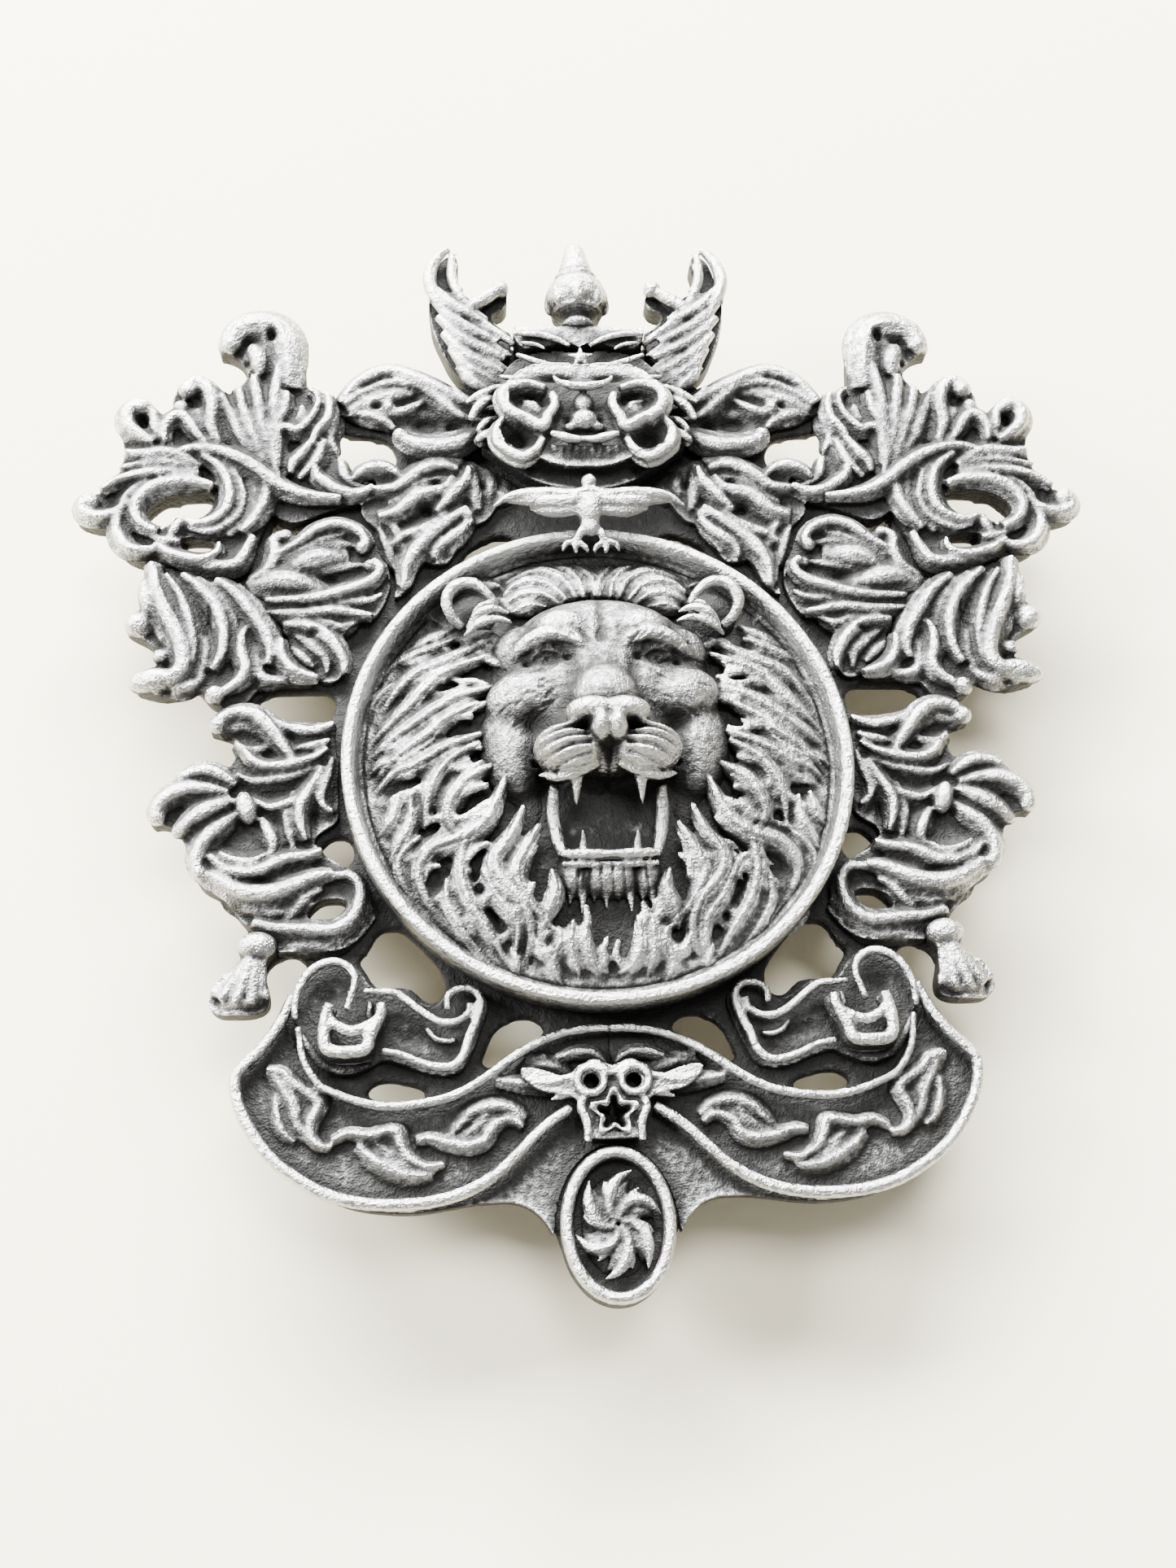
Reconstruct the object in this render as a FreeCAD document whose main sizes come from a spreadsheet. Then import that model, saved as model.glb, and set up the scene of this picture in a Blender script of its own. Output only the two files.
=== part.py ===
import FreeCAD, Part
import Sketcher
import math
import os

# A cap badge about 80 mm wide, lying face up: X to the right, Y to the crest, Z out of the front.
# The origin is the roundel's centre on the back face. Millimetres and degrees throughout.

sizes = {
    "web_thickness": 1.2,
    "ornament_top": 2.5,
    "banner_top": 2.3,
    "roundel_radius": 19.0,
    "roundel_back": 2.0,
    "pedestal_radius": 17.4,
    "dish_floor": 2.8,
    "rim_width": 0.95,
    "rim_top": 5.0,
    "mask_shelf": 4.0,
    "mask_top": 6.0,
    "wing_top": 3.6,
    "collar_top": 4.2,
    "finial_axis_height": 2.6,
    "eagle_seat": 5.05,
    "eagle_top": 7.0,
    "clasp_top": 3.5,
    "ring_hole_radius": 0.55,
    "star_depth": 0.6,
    "buckle_top": 4.2,
    "medallion_floor": 1.7,
    "medallion_top": 3.0,
    "tassel_top": 2.8,
    "seat_radius": 2.8,
    "shoulder_radius": 1.8,
    "shoulder_length": 2.05,
    "thread_radius": 1.5,
    "post_end": 6.0,
    "post_chamfer": 0.35,
    "fastener_bore": 1.56,
    "washer_radius": 4.5,
    "washer_face": 2.1,
    "washer_thickness": 0.6,
    "nut_radius": 4.0,
    "nut_face": 2.75,
    "nut_height": 1.8,
    "nut_lip": 0.4,
    "knurl_radius": 0.35,
    "post_side_x": 24.5,
    "post_side_y": 25.5,
    "post_lower_y": -25.5,
}

# An outline is a list of strokes that meet at corners. A stroke of three points or more is a smooth
# curve, and the last stroke runs back to the first point. These are the left half of the badge.

webOutline = [
    [(0, 37.6), (-3, 37.7), (-5.2, 38), (-7.2, 39.6), (-8.6, 41.5), (-10.6, 43.6)],
    [(-11.6, 42.2), (-11.5, 40), (-10.8, 37.4), (-9.7, 35.2), (-9.4, 33.9)],
    [(-11, 33.8), (-13.5, 34.3), (-15.3, 34.8), (-16.8, 34.2), (-18, 33), (-19.4, 32.1)],
    [(-20.4, 32.6), (-21.4, 33.1), (-22.3, 33.7)],
    [(-22.7, 35.3), (-22.9, 37.3), (-23.4, 38.6), (-24.5, 39.4), (-26, 39.8), (-27.7, 39.3), (-28.6, 37.7)],
    [(-27.3, 36.2), (-26.7, 35.3), (-27, 34)],
    [(-27.9, 33.1), (-28.9, 32.9), (-30, 33.7), (-31, 34), (-31.9, 33.6), (-32.2, 31.3)],
    [(-33, 30.5), (-34.2, 31.6), (-35.2, 32), (-36, 31.4), (-36.3, 30.2), (-36.2, 28.8), (-36.2, 26.4)],
    [(-37.4, 24.8), (-38.6, 23.6), (-39.3, 22.6), (-38.9, 21.8), (-37.8, 21.3), (-36.7, 20.9)],
    [(-36.3, 19.8), (-35.5, 18.9), (-34.2, 18.2), (-33.7, 17), (-33.7, 15), (-33.9, 13.2)],
    [(-35, 12.4), (-34.4, 11.9), (-33.2, 11.1), (-32.6, 10.1), (-32.9, 9)],
    [(-34, 8), (-34.1, 7.3), (-33, 7.1), (-31, 7.2), (-29.6, 7.6)],
    [(-29, 6.8), (-28.3, 6), (-28.1, 5), (-28.4, 3.8)],
    [(-27, 2.9), (-26.8, 1.6), (-27.5, 0.3)],
    [(-28.9, 0.1), (-30.2, -0.3), (-31.2, -1.4), (-32.3, -2.4), (-32.6, -3.3), (-31.3, -3.9)],
    [(-30.6, -4.8), (-29.5, -6.6), (-29.2, -8), (-28.4, -9), (-27.2, -9.8), (-26.3, -11), (-25.6, -12.4)],
    [(-26.2, -13.2), (-26.3, -14.4), (-27, -15.8), (-27.9, -17.1), (-27.2, -17.9), (-25.4, -18),
     (-24.5, -17.4)],
    [(-24.6, -15.9), (-24.2, -14.7), (-23.2, -14), (-21.9, -14.1), (-21.5, -14.9)],
    [(-22.2, -16.2), (-23, -17.7), (-23.6, -19), (-24.6, -20.3), (-26.2, -22.9)],
    [(-26.2, -24), (-25.7, -25.3), (-24.8, -26.8), (-23.6, -28.2), (-22, -29.6), (-20.1, -30.8),
     (-18.1, -31.7),
     (-16, -32.1), (-12, -32), (-8.5, -31.6), (-6.8, -31.7), (-5.5, -32.3), (-4.6, -33.4)],
    [(-3.9, -35.2), (-3.3, -36.8), (-2.2, -38.3), (0, -38.9)],
]

# Openings through the web and the castings on it.
webOpenings = [
    [(-34.5, 21.9), (-33.8, 23), (-32.3, 23.7), (-30.5, 23.9), (-29.3, 23.8), (-29.3, 23.1), (-29.8, 22.2),
     (-31, 21.6), (-32.2, 21.2), (-33.4, 20.9)],
    [(-31.5, 20), (-30, 19.9), (-29, 19.6), (-29.1, 18.9), (-29.8, 18.4), (-30.6, 18.3), (-31.5, 18.8)],
    [(-24.7, 21.6), (-24.3, 22.1), (-22.4, 21), (-22.8, 20.2), (-23.6, 19.7), (-24.3, 20)],
    [(-20.1, 30.1), (-19, 29.9), (-17.5, 29.6), (-15.5, 29), (-15.2, 26.8), (-16.2, 26.5), (-18.4, 25.9),
     (-18.9, 27), (-19.8, 27.9), (-20.2, 29)],
    [(-10.6, 16.6), (-10, 18), (-9.3, 19.2), (-8, 20), (-6, 20.3), (-5.6, 19.4), (-7.6, 18.6),
     (-9.6, 17.4)],
    [(-16.2, 11.9), (-15.6, 12.8), (-14.4, 13.3), (-13.7, 13.7), (-14.4, 12.9), (-15.2, 12.1)],
    [(-25.7, 5.7), (-25, 6.7), (-23, 7), (-20.7, 7.1), (-19.8, 6.7), (-19.6, 5.9), (-20, 4.7), (-20.9, 3.9),
     (-22.3, 3.9), (-23.6, 4.7)],
    [(-21.5, -11), (-21, -10.3), (-19.7, -9.8), (-18.7, -10.1), (-18.6, -10.8), (-19.1, -11.2),
     (-20.1, -11.5)],
    [(-20.6, -5.6), (-20, -5), (-18.7, -4.9), (-18.3, -6.6), (-18.8, -7.2), (-19.9, -6.4)],
    [(-17.7, -14), (-17, -13.3), (-16.4, -12.3), (-15.3, -12), (-12.9, -13.9), (-11.7, -15.7),
     (-11.9, -17.2),
     (-12.7, -17.6), (-13.7, -16.8), (-15, -16.3), (-16.7, -16.2), (-17.2, -15.3)],
    [(-9.3, -22.2), (-8.7, -20.9), (-8, -19.6), (-7.2, -19.1), (-5.6, -18.9), (-4.6, -19.6), (-5.3, -20.6),
     (-6.3, -21.2), (-7.7, -22.1)],
    [(-17.3, -23.9), (-16.6, -23.4), (-15.3, -23.3), (-13.4, -23.8), (-12.7, -24.2), (-13.2, -24.6),
     (-14.5, -24.8), (-16.2, -24.6)],
]

upperScroll = [
    [(-20, 32.4), (-20.6, 33.1), (-21.2, 33.5), (-22.1, 33.8)],
    [(-22.2, 35.3), (-22.4, 37.2), (-22.9, 38.7), (-24.1, 39.9), (-26, 40.3), (-27.9, 39.8),
     (-29, 38.5), (-29.1, 37)],
    [(-28.1, 36.7), (-27.2, 35.9), (-26.9, 35.1), (-27.4, 34)],
    [(-28.2, 33.3), (-29.2, 33.4), (-30.1, 34.1), (-31, 34.4), (-32, 34), (-32.6, 33.2), (-32.3, 31.2)],
    [(-33, 30.8), (-33.8, 31.4), (-34.7, 32.3), (-35.7, 32.2), (-36.5, 31.2), (-36.7, 29.6),
     (-36.4, 28.2), (-36.5, 26.5)],
    [(-37.3, 24.6), (-38.7, 23.9), (-39.8, 23), (-39.8, 21.9), (-38.8, 21.2), (-37.3, 20.9)],
    [(-36.7, 19.8), (-36, 18.7), (-35.1, 18.1), (-34, 17.9)],
    [(-32.4, 17.6), (-30.5, 17.1), (-28.6, 16.7), (-27.2, 16.9), (-26.4, 18), (-25.4, 20.4), (-24.7, 22.3)],
    [(-22.5, 21.4), (-20.6, 22.2), (-18.6, 22.8), (-17.2, 23.4), (-16.7, 24.2)],
    [(-17.6, 25), (-18.6, 25.6), (-19, 26.8), (-19.9, 27.9), (-20.2, 29), (-20, 30.2), (-19.7, 31.2)],
]

crestLeaf = [
    [(-9.4, 33.9), (-10.2, 33.4), (-11.2, 33.3), (-12.5, 34), (-13.9, 34.8), (-15.3, 35.2),
     (-16.6, 35), (-17.6, 34.2),
     (-18.6, 33.1), (-19.6, 32.4)],
    [(-19.6, 31.3), (-18.3, 30.9), (-16.5, 30.7), (-15.3, 30.3), (-14.9, 29.1), (-14.5, 28.2)],
    [(-13.6, 27.8), (-12.3, 27.5), (-10.9, 27.5), (-9.6, 28), (-8.4, 28.8)],
    [(-7.6, 30), (-7.4, 31.6), (-7.8, 33)],
]

innerLeaf = [
    [(-16.2, 24.3), (-16.8, 25.1), (-17.4, 25.7), (-16.5, 26.3), (-15.4, 26.2), (-14.4, 25.8), (-13, 26.2),
     (-11.6, 26.8), (-10, 27), (-8.6, 26.8)],
    [(-7.4, 26), (-6.2, 25.2), (-5.2, 24.4)],
    [(-6, 23.9), (-7, 22.7), (-7.7, 21.6), (-8.6, 21.1), (-9.5, 21)],
    [(-9.8, 19.7), (-10.3, 18.7), (-11, 17.7), (-12, 17.5), (-12.7, 17.8)],
    [(-13.3, 16.9), (-13.7, 15.8), (-14.4, 15), (-15.2, 14.6)],
    [(-15, 16), (-15.3, 17.5), (-16, 19.2), (-16.5, 20.7), (-17.4, 21.6), (-17.7, 22.6), (-16.6, 23.4)],
]

palmSpray = [
    [(-24.7, 20), (-23.9, 19.6), (-22.9, 19.7), (-22.1, 20.6), (-20.6, 21.2), (-18.6, 21.3), (-17.1, 20.5),
     (-16.4, 19), (-15.7, 17.5), (-15.4, 16), (-15.7, 14.6), (-16.7, 12.8)],
    [(-17.6, 12.6), (-18.6, 12), (-19.2, 10.4), (-18.8, 8.6), (-19.4, 7.7), (-20.6, 7.6)],
    [(-21.7, 8.3), (-22.7, 9), (-23, 10.2), (-23.9, 12.7), (-25.6, 15.1), (-26.4, 16.2)],
    [(-25.4, 17), (-24.9, 18.4)],
]

shellLeaf = [
    [(-34.1, 17.6), (-34.3, 16), (-34.1, 13.7)],
    [(-35.2, 13.2), (-35.6, 12.3), (-35, 11.7), (-34.1, 11.2), (-33.3, 10.5), (-33, 9.7), (-33.6, 8.7)],
    [(-34.5, 8), (-34.6, 7.2), (-33.8, 6.8), (-32.4, 6.5), (-31.2, 6.7), (-30, 7.2)],
    [(-29.5, 6.6), (-28.9, 5.9), (-27.9, 5.5), (-26.4, 5.7), (-25.5, 6.9), (-23.5, 7.3), (-21.2, 7.4)],
    [(-22, 7.9), (-23, 8.8), (-23.4, 10.1), (-24.2, 12.5), (-25.9, 14.8), (-27.4, 16.1), (-28.7, 16.5),
     (-30.5, 16.9), (-32.3, 17.4)],
]

sideLeaf = [
    [(-28.9, 3.6), (-28.5, 4.6), (-27.5, 5.1), (-26, 5.2), (-24.2, 4.8), (-23.2, 4), (-22.3, 3.6),
     (-20.9, 3.6),
     (-19.6, 4.3)],
    [(-19.5, 2), (-19.3, 0), (-19.3, -1.8), (-19.2, -3.3)],
    [(-20, -4.3), (-20.9, -5), (-20.9, -6), (-19.9, -6.7), (-18.7, -7.4), (-17.6, -8.4), (-17.1, -9.6),
     (-16.5, -11.2)],
    [(-17.7, -12.8), (-18.8, -13.6), (-20.6, -13.9), (-22.4, -13.8), (-23.6, -13.9)],
    [(-24.6, -12.8), (-25.9, -11.7), (-26.8, -10.6), (-27.7, -9.6), (-29, -8.8), (-29.7, -7.7),
     (-30.2, -6.2),
     (-31.1, -4.3), (-32.7, -3.9)],
    [(-33.2, -3.1), (-32.6, -2), (-31.4, -1), (-30.2, 0.3), (-28.8, 0.5), (-27.6, 0.3)],
    [(-27, 1.4), (-26.9, 2.7), (-27.7, 3.2)],
]

loopEye = [(-21.5, -11), (-21, -10.3), (-19.7, -9.8), (-18.7, -10.1), (-18.6, -10.8),
     (-19.1, -11.2), (-20.1, -11.5)]

tassel = [
    [(-24.1, -14.2), (-23.6, -13.5), (-24.1, -12.7), (-25, -12.4), (-26, -12.7), (-26.4, -13.5),
     (-26, -14.2)],
    [(-26.6, -14.8), (-27.4, -15.5), (-28.2, -16.6), (-28.4, -17.4), (-27.8, -18.2), (-26.6, -18.4),
     (-25, -18.3),
     (-24.2, -17.8), (-24.1, -16.8), (-24.4, -15.6)],
]

strap = [
    [(-22.7, -17.6), (-22.2, -16.2), (-21.3, -15), (-19.9, -14.3), (-18.6, -14.6), (-17.6, -15.4),
     (-16.9, -16.4),
     (-15.4, -16.6), (-14.2, -17.1), (-13.2, -17.8), (-12.3, -18)],
    [(-11.7, -17.3), (-10.9, -16.7), (-9.9, -16.5), (-9.1, -17), (-8.6, -17.9), (-8.8, -19), (-9.3, -20.4),
     (-9.9, -21.8), (-10.4, -22.7)],
    [(-11.6, -23.1), (-13, -22.9), (-14.8, -22.2), (-16.2, -21.9)],
    [(-17.6, -22.7), (-19.2, -22.9), (-20.6, -21.9), (-21.6, -20.4), (-22.3, -19)],
]

buckle = [
    [(-15.9, -18), (-15.9, -18.9), (-16.4, -19.8), (-16.8, -20.8), (-17.2, -21.8), (-18.5, -22.1),
     (-20, -21.9),
     (-20.5, -20.9), (-20.4, -19.6), (-20, -18.6), (-19.5, -18)],
    [(-19.5, -18.8), (-19.2, -19.5), (-18.3, -20), (-17.3, -19.9), (-16.6, -19.2), (-16.3, -18.3)],
]
buckleSlot = [(-19.6, -20.4), (-19.3, -21.1), (-18.5, -21.5), (-17.8, -21.4), (-17.8, -20.9), (-18.8, -20.5)]

banner = [
    [(-23.1, -18), (-23.5, -19), (-24.3, -20.3), (-25.4, -21.6), (-26.7, -22.8)],
    [(-26.6, -24), (-26.1, -25.3), (-25.2, -26.9), (-23.9, -28.5), (-22.2, -30), (-20.3, -31.2),
     (-18.2, -32.1),
     (-16, -32.5), (-14, -32.6), (-12, -32.4), (-10, -32.1), (-8.3, -32), (-6.9, -32.1), (-5.8, -32.6),
     (-5, -33.4), (-4.4, -34.6)],
    [(-4.2, -33), (-3.7, -31.2), (-2.8, -29.7), (-1.5, -28.6), (0, -28.2)],
    [(0, -19.75)],
    [(-3, -20.1), (-5, -20.8), (-7, -21.9), (-8.8, -23.1), (-10.6, -24.2), (-12.5, -24.9), (-14.5, -25.1),
     (-16.5, -25), (-18.6, -24.6), (-20.3, -23.9), (-21.4, -22.3), (-22.4, -20.3), (-23, -18.8)],
]

crestWing = [
    [(-10, 46.4), (-11, 46), (-11.6, 44.5), (-12.1, 43), (-12.2, 42), (-12.1, 40.5), (-11.9, 39),
     (-11.4, 37.6),
     (-10.9, 36.3), (-10.2, 35), (-9.2, 34.2)],
    [(-8.2, 34.2), (-6.8, 35.4), (-5.8, 36.4), (-5.5, 37.6), (-5.5, 38.7)],
    [(-6.2, 39.2), (-6.9, 39.9), (-7, 40.6), (-6.3, 41), (-5.8, 41.6), (-5.8, 42.3), (-6.3, 42.8),
     (-7, 42.5),
     (-7.8, 41.7)],
    [(-8.4, 41.7), (-9, 42.3), (-9.6, 42.7), (-10, 44), (-9.7, 45.6)],
]

crestMask = [
    [(0, 36.3), (-3.3, 36.3), (-5, 35.7), (-6.3, 34.3), (-7, 32.5), (-7, 30.6), (-7.8, 28.8), (-8.1, 27.3)],
    [(-6.8, 26.3), (-5.6, 25.4), (-4.4, 24.6)],
    [(-3, 24), (-1.4, 23.6), (0, 23.5)],
]

crestSeat = [
    [(0, 36.3), (-3, 36.3), (-4.8, 35.6), (-6.1, 34), (-6.6, 32.3), (-6.6, 30.4), (-6.9, 28.6), (-6.4, 27)],
    [(-4.6, 25), (-2.6, 23.9), (0, 23.6)],
]

crestFace = [
    [(0, 34.2), (-2.5, 34.4), (-4.6, 33.9), (-5.9, 32.4), (-5.9, 30.6), (-6.6, 28.6), (-6.2, 26.8)],
    [(-4.4, 26), (-2.8, 25.2), (-1.3, 24.8), (0, 24.8)],
]

crestCollar = [
    [(0, 38.7), (-3.3, 38.6), (-5.3, 38.6)],
    [(-5.2, 37.4), (-4.6, 36.6), (-3.3, 36.5), (0, 36.5)],
]

# The finial's half profile beside its own long axis: a neck, a bulb and a spire.
finialProfile = [
    [(0, 38.7), (1.6, 38.7)],
    [(1.3, 39.6), (1.5, 40.3), (2.2, 41.2), (2.35, 42.2), (1.9, 43.3), (1.2, 44)],
    [(1.15, 44.8), (0.8, 46), (0.35, 47)],
    [(0, 47.3)],
    [],
]

eagleStem = [[(0, 19.5), (-1.5, 19.5), (-1.8, 20.4), (-1.6, 21.6), (0, 22)]]
eagleWings = [
    [(0, 22.8), (-2, 22.4), (-4, 22), (-5.6, 22), (-6.6, 21.7)],
    [(-5.4, 21.1), (-4, 20.7), (-2.6, 20.3), (-2.4, 19), (-2, 17.6)],
    [(-1.2, 18.3), (-0.6, 17.9), (0, 17.6)],
]

claspOutline = [
    [(0, -22.9), (-0.6, -22.7), (-1.5, -22.6), (-2.5, -23), (-3.1, -23.8)],
    [(-6.3, -23.5), (-5, -24.6), (-3, -25), (-2.2, -25.8), (-1.7, -26.8), (-1.7, -28)],
    [(-0.9, -28.1), (0, -28.1)],
]

maneProfile = [
    [(8, 2.8), (17.9, 2.8)],
    [(16.4, 4), (14, 5), (11, 5.6), (8, 5.6)],
    [],
]

document = FreeCAD.newDocument("CapBadge")
parts = []


def makeSheet():
    """The driving dimensions, one alias to a row."""
    table = document.addObject("Spreadsheet::Sheet", "Sizes")
    for row, (alias, value) in enumerate(sizes.items(), start=1):
        table.set(f"A{row}", alias)
        table.set(f"B{row}", str(value))
        table.setAlias(f"B{row}", alias)
    document.recompute()


def mirrored(strokes):
    return [[(-x, y) for x, y in stroke] for stroke in strokes]


def onSide(strokes, side):
    return strokes if side == "left" else mirrored(strokes)


def wholeOutline(half):
    """A half outline that starts and ends on the middle line, joined to its mirror image."""
    runs = [half[0]]
    for stroke in half[1:]:
        runs.append([runs[-1][-1], *stroke])
    back = [[(-x, y) for x, y in run[-2::-1]] for run in runs[::-1]]
    back[-1].pop()
    return half + back


def curveThrough(points):
    vectors = [FreeCAD.Vector(x, y, 0) for x, y in points]
    if len(vectors) == 2:
        return Part.LineSegment(*vectors)
    curve = Part.BSplineCurve()
    curve.interpolate(vectors)
    return curve


def drawLoop(sketch, strokes):
    """Strokes that meet at corners, closed back to the first point."""
    start = strokes[0][0]
    last = None
    first = sketch.GeometryCount
    for number, stroke in enumerate(strokes, start=1):
        run = list(stroke) if last is None else [last, *stroke]
        if number == len(strokes):
            run.append(start)
        sketch.addGeometry(curveThrough(run))
        last = run[-1]
    count = sketch.GeometryCount - first
    for k in range(count):
        sketch.addConstraint(Sketcher.Constraint("Coincident", first + k, 2, first + (k + 1) % count, 1))


def drawRing(sketch, points):
    """One smooth closed curve."""
    curve = Part.BSplineCurve()
    curve.interpolate(Points=[FreeCAD.Vector(x, y, 0) for x, y in points], PeriodicFlag=True)
    sketch.addGeometry(curve)


def drawCircle(sketch, centre, alias, less=None):
    """A circle whose radius is a cell of the sheet, less another cell where one is named."""
    middle = FreeCAD.Vector(centre[0], centre[1], 0)
    radius = sizes[alias] - (sizes[less] if less else 0)
    index = sketch.addGeometry(Part.Circle(middle, FreeCAD.Vector(0, 0, 1), radius))
    number = sketch.addConstraint(Sketcher.Constraint("Radius", index, radius))
    formula = f"Sizes.{alias}" + (f" - Sizes.{less}" if less else "")
    sketch.setExpression(f"Constraints[{number}]", formula)


def newBody(name):
    body = document.addObject("PartDesign::Body", name)
    body.Label = name
    return body


def newSketch(body, name, height="0", plane="XY_Plane"):
    """A sketch on one of the body's own planes, raised by an expression."""
    sketch = body.newObject("Sketcher::SketchObject", name)
    flat = next(p for p in body.Origin.OriginFeatures if p.Role == plane)
    sketch.AttachmentSupport = (flat, "")
    sketch.MapMode = "FlatFace"
    sketch.setExpression("AttachmentOffset.Base.z", height)
    return sketch


def addPad(body, sketch, length):
    pad = body.newObject("PartDesign::Pad", "Pad")
    pad.Profile = sketch
    pad.setExpression("Length", length)
    sketch.Visibility = False
    document.recompute()
    return pad


def addPocket(body, sketch, length):
    """A pocket that goes up into the body from its sketch; it has to take something away."""
    before = body.Shape.Volume
    pocket = body.newObject("PartDesign::Pocket", "Pocket")
    pocket.Profile = sketch
    pocket.setExpression("Length", length)
    pocket.Reversed = True
    document.recompute()
    if body.Shape.Volume >= before - 1e-6:
        raise RuntimeError(f"{body.Label}: the pocket cut nothing")
    return pocket


def addRevolution(body, sketch, axis):
    turn = body.newObject("PartDesign::Revolution", "Revolution")
    turn.Profile = sketch
    turn.ReferenceAxis = (sketch, [axis])
    turn.Angle = 360
    document.recompute()
    return turn


def layered(name, layers):
    """A casting made of flat layers: each is (strokes, holes, bottom, top), heights as expressions."""
    body = newBody(name)
    for number, (strokes, holes, bottom, top) in enumerate(layers, start=1):
        sketch = newSketch(body, f"Outline{number}", bottom)
        drawLoop(sketch, strokes)
        for hole in holes:
            drawRing(sketch, hole)
        addPad(body, sketch, f"{top} - {bottom}")
    return body


def keep(piece, name=None):
    """Lists a sub-part under the name that its file takes."""
    if name:
        piece.Label = name
    parts.append(piece)
    return piece


def carve(name, blank, tools):
    """The blank less each tool, so that neighbours meet without sharing space."""
    blank.Label = f"{name}_blank"
    solid = blank
    for tool in tools:
        cut = document.addObject("Part::Cut", f"{name}_cut")
        cut.Base = solid
        cut.Tool = tool
        solid = cut
    document.recompute()
    return keep(solid, name)


def makeBackplate():
    """The pierced web that everything is soldered to, bored for the three posts."""
    body = newBody("backplate")
    sketch = newSketch(body, "Outline")
    drawLoop(sketch, wholeOutline(webOutline))
    for side in ("left", "right"):
        for opening in webOpenings:
            drawRing(sketch, onSide([opening], side)[0])
    addPad(body, sketch, "Sizes.web_thickness")
    bores = newSketch(body, "PostBores")
    for x, y in postPlaces().values():
        drawCircle(bores, (x, y), "seat_radius")
    addPocket(body, bores, "Sizes.web_thickness")
    return keep(body)


def postPlaces():
    x, y = sizes["post_side_x"], sizes["post_side_y"]
    return {"left": (-x, y), "right": (x, y), "lower": (0, sizes["post_lower_y"])}


def makeRoundel():
    """A dish on a narrower pedestal, and the ring that stands around it."""
    dish = newBody("roundel_dish")
    lower = newSketch(dish, "Pedestal", "Sizes.web_thickness")
    drawCircle(lower, (0, 0), "pedestal_radius")
    addPad(dish, lower, "Sizes.roundel_back - Sizes.web_thickness")
    upper = newSketch(dish, "Dish", "Sizes.roundel_back")
    drawCircle(upper, (0, 0), "roundel_radius", "rim_width")
    addPad(dish, upper, "Sizes.dish_floor - Sizes.roundel_back")
    keep(dish)
    rim = newBody("roundel_rim")
    ring = newSketch(rim, "Ring", "Sizes.roundel_back")
    drawCircle(ring, (0, 0), "roundel_radius")
    drawCircle(ring, (0, 0), "roundel_radius", "rim_width")
    pad = addPad(rim, ring, "Sizes.rim_top - Sizes.roundel_back")
    top = sizes["rim_top"]
    edges = [
        f"Edge{k}"
        for k, edge in enumerate(pad.Shape.Edges, start=1)
        if all(abs(v.Z - top) < 1e-6 for v in edge.Vertexes)
    ]
    softened = rim.newObject("PartDesign::Fillet", "RoundedTop")
    softened.Base = (pad, edges)
    softened.setExpression("Radius", "Sizes.rim_width * 0.4")
    document.recompute()
    keep(rim)


def makeEllipsoid(name, centre, radii):
    """An egg shape: radii along X, Y and Z."""
    egg = document.addObject("Part::Ellipsoid", name)
    egg.Radius2 = radii[0]
    egg.Radius3 = radii[1]
    egg.Radius1 = radii[2]
    egg.Placement = FreeCAD.Placement(FreeCAD.Vector(*centre), FreeCAD.Rotation())
    return egg


def above(shape, space):
    """The part of a shape that lies inside the dish."""
    common = document.addObject("Part::MultiCommon", "Above")
    common.Shapes = [shape, space]
    return common


def makeLion():
    """The head is a group of eggs above the dish, with the lower jaw and the mane fitted round it."""
    eggs = [
        makeEllipsoid("Skull", (0, 4.5, 2.8), (8.8, 8.8, 5.6)),
        makeEllipsoid("Brow", (0, 8.2, 5), (5.6, 3.6, 3.8)),
        makeEllipsoid("Muzzle", (0, 0.8, 6.2), (4.9, 4, 5)),
        makeEllipsoid("Chops", (0, -1.4, 5), (6.8, 3.4, 4)),
    ]
    for side in (-1, 1):
        eggs.append(makeEllipsoid("Cheek", (side * 6, 4.2, 5), (2.8, 3.2, 3.4)))
    lump = document.addObject("Part::MultiFuse", "HeadLump")
    lump.Shapes = eggs
    floor = document.addObject("Part::Cylinder", "DishSpace")
    floor.setExpression("Radius", "Sizes.roundel_radius - Sizes.rim_width - 0.3")
    floor.Height = 12
    floor.setExpression("Placement.Base.z", "Sizes.dish_floor")
    head = above(lump, floor)
    document.recompute()
    keep(head, "lion_head")
    chin = makeEllipsoid("Chin", (0.3, -8.2, 3.6), (4, 3, 3.4))
    jaw = carve("lion_jaw", above(chin, floor), [head])
    ears = []
    for side, name in ((-1, "left"), (1, "right")):
        egg = makeEllipsoid("Ear", (side * 9.3, 11.6, 4), (2, 2, 2.6))
        ears.append(carve(f"lion_ear_{name}", above(egg, floor), [head]))
    mane = newBody("Mane")
    sketch = newSketch(mane, "Profile", "0", "XZ_Plane")
    drawLoop(sketch, maneProfile)
    addRevolution(mane, sketch, "V_Axis")
    carve("lion_mane", mane, [head, jaw, *ears])


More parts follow.
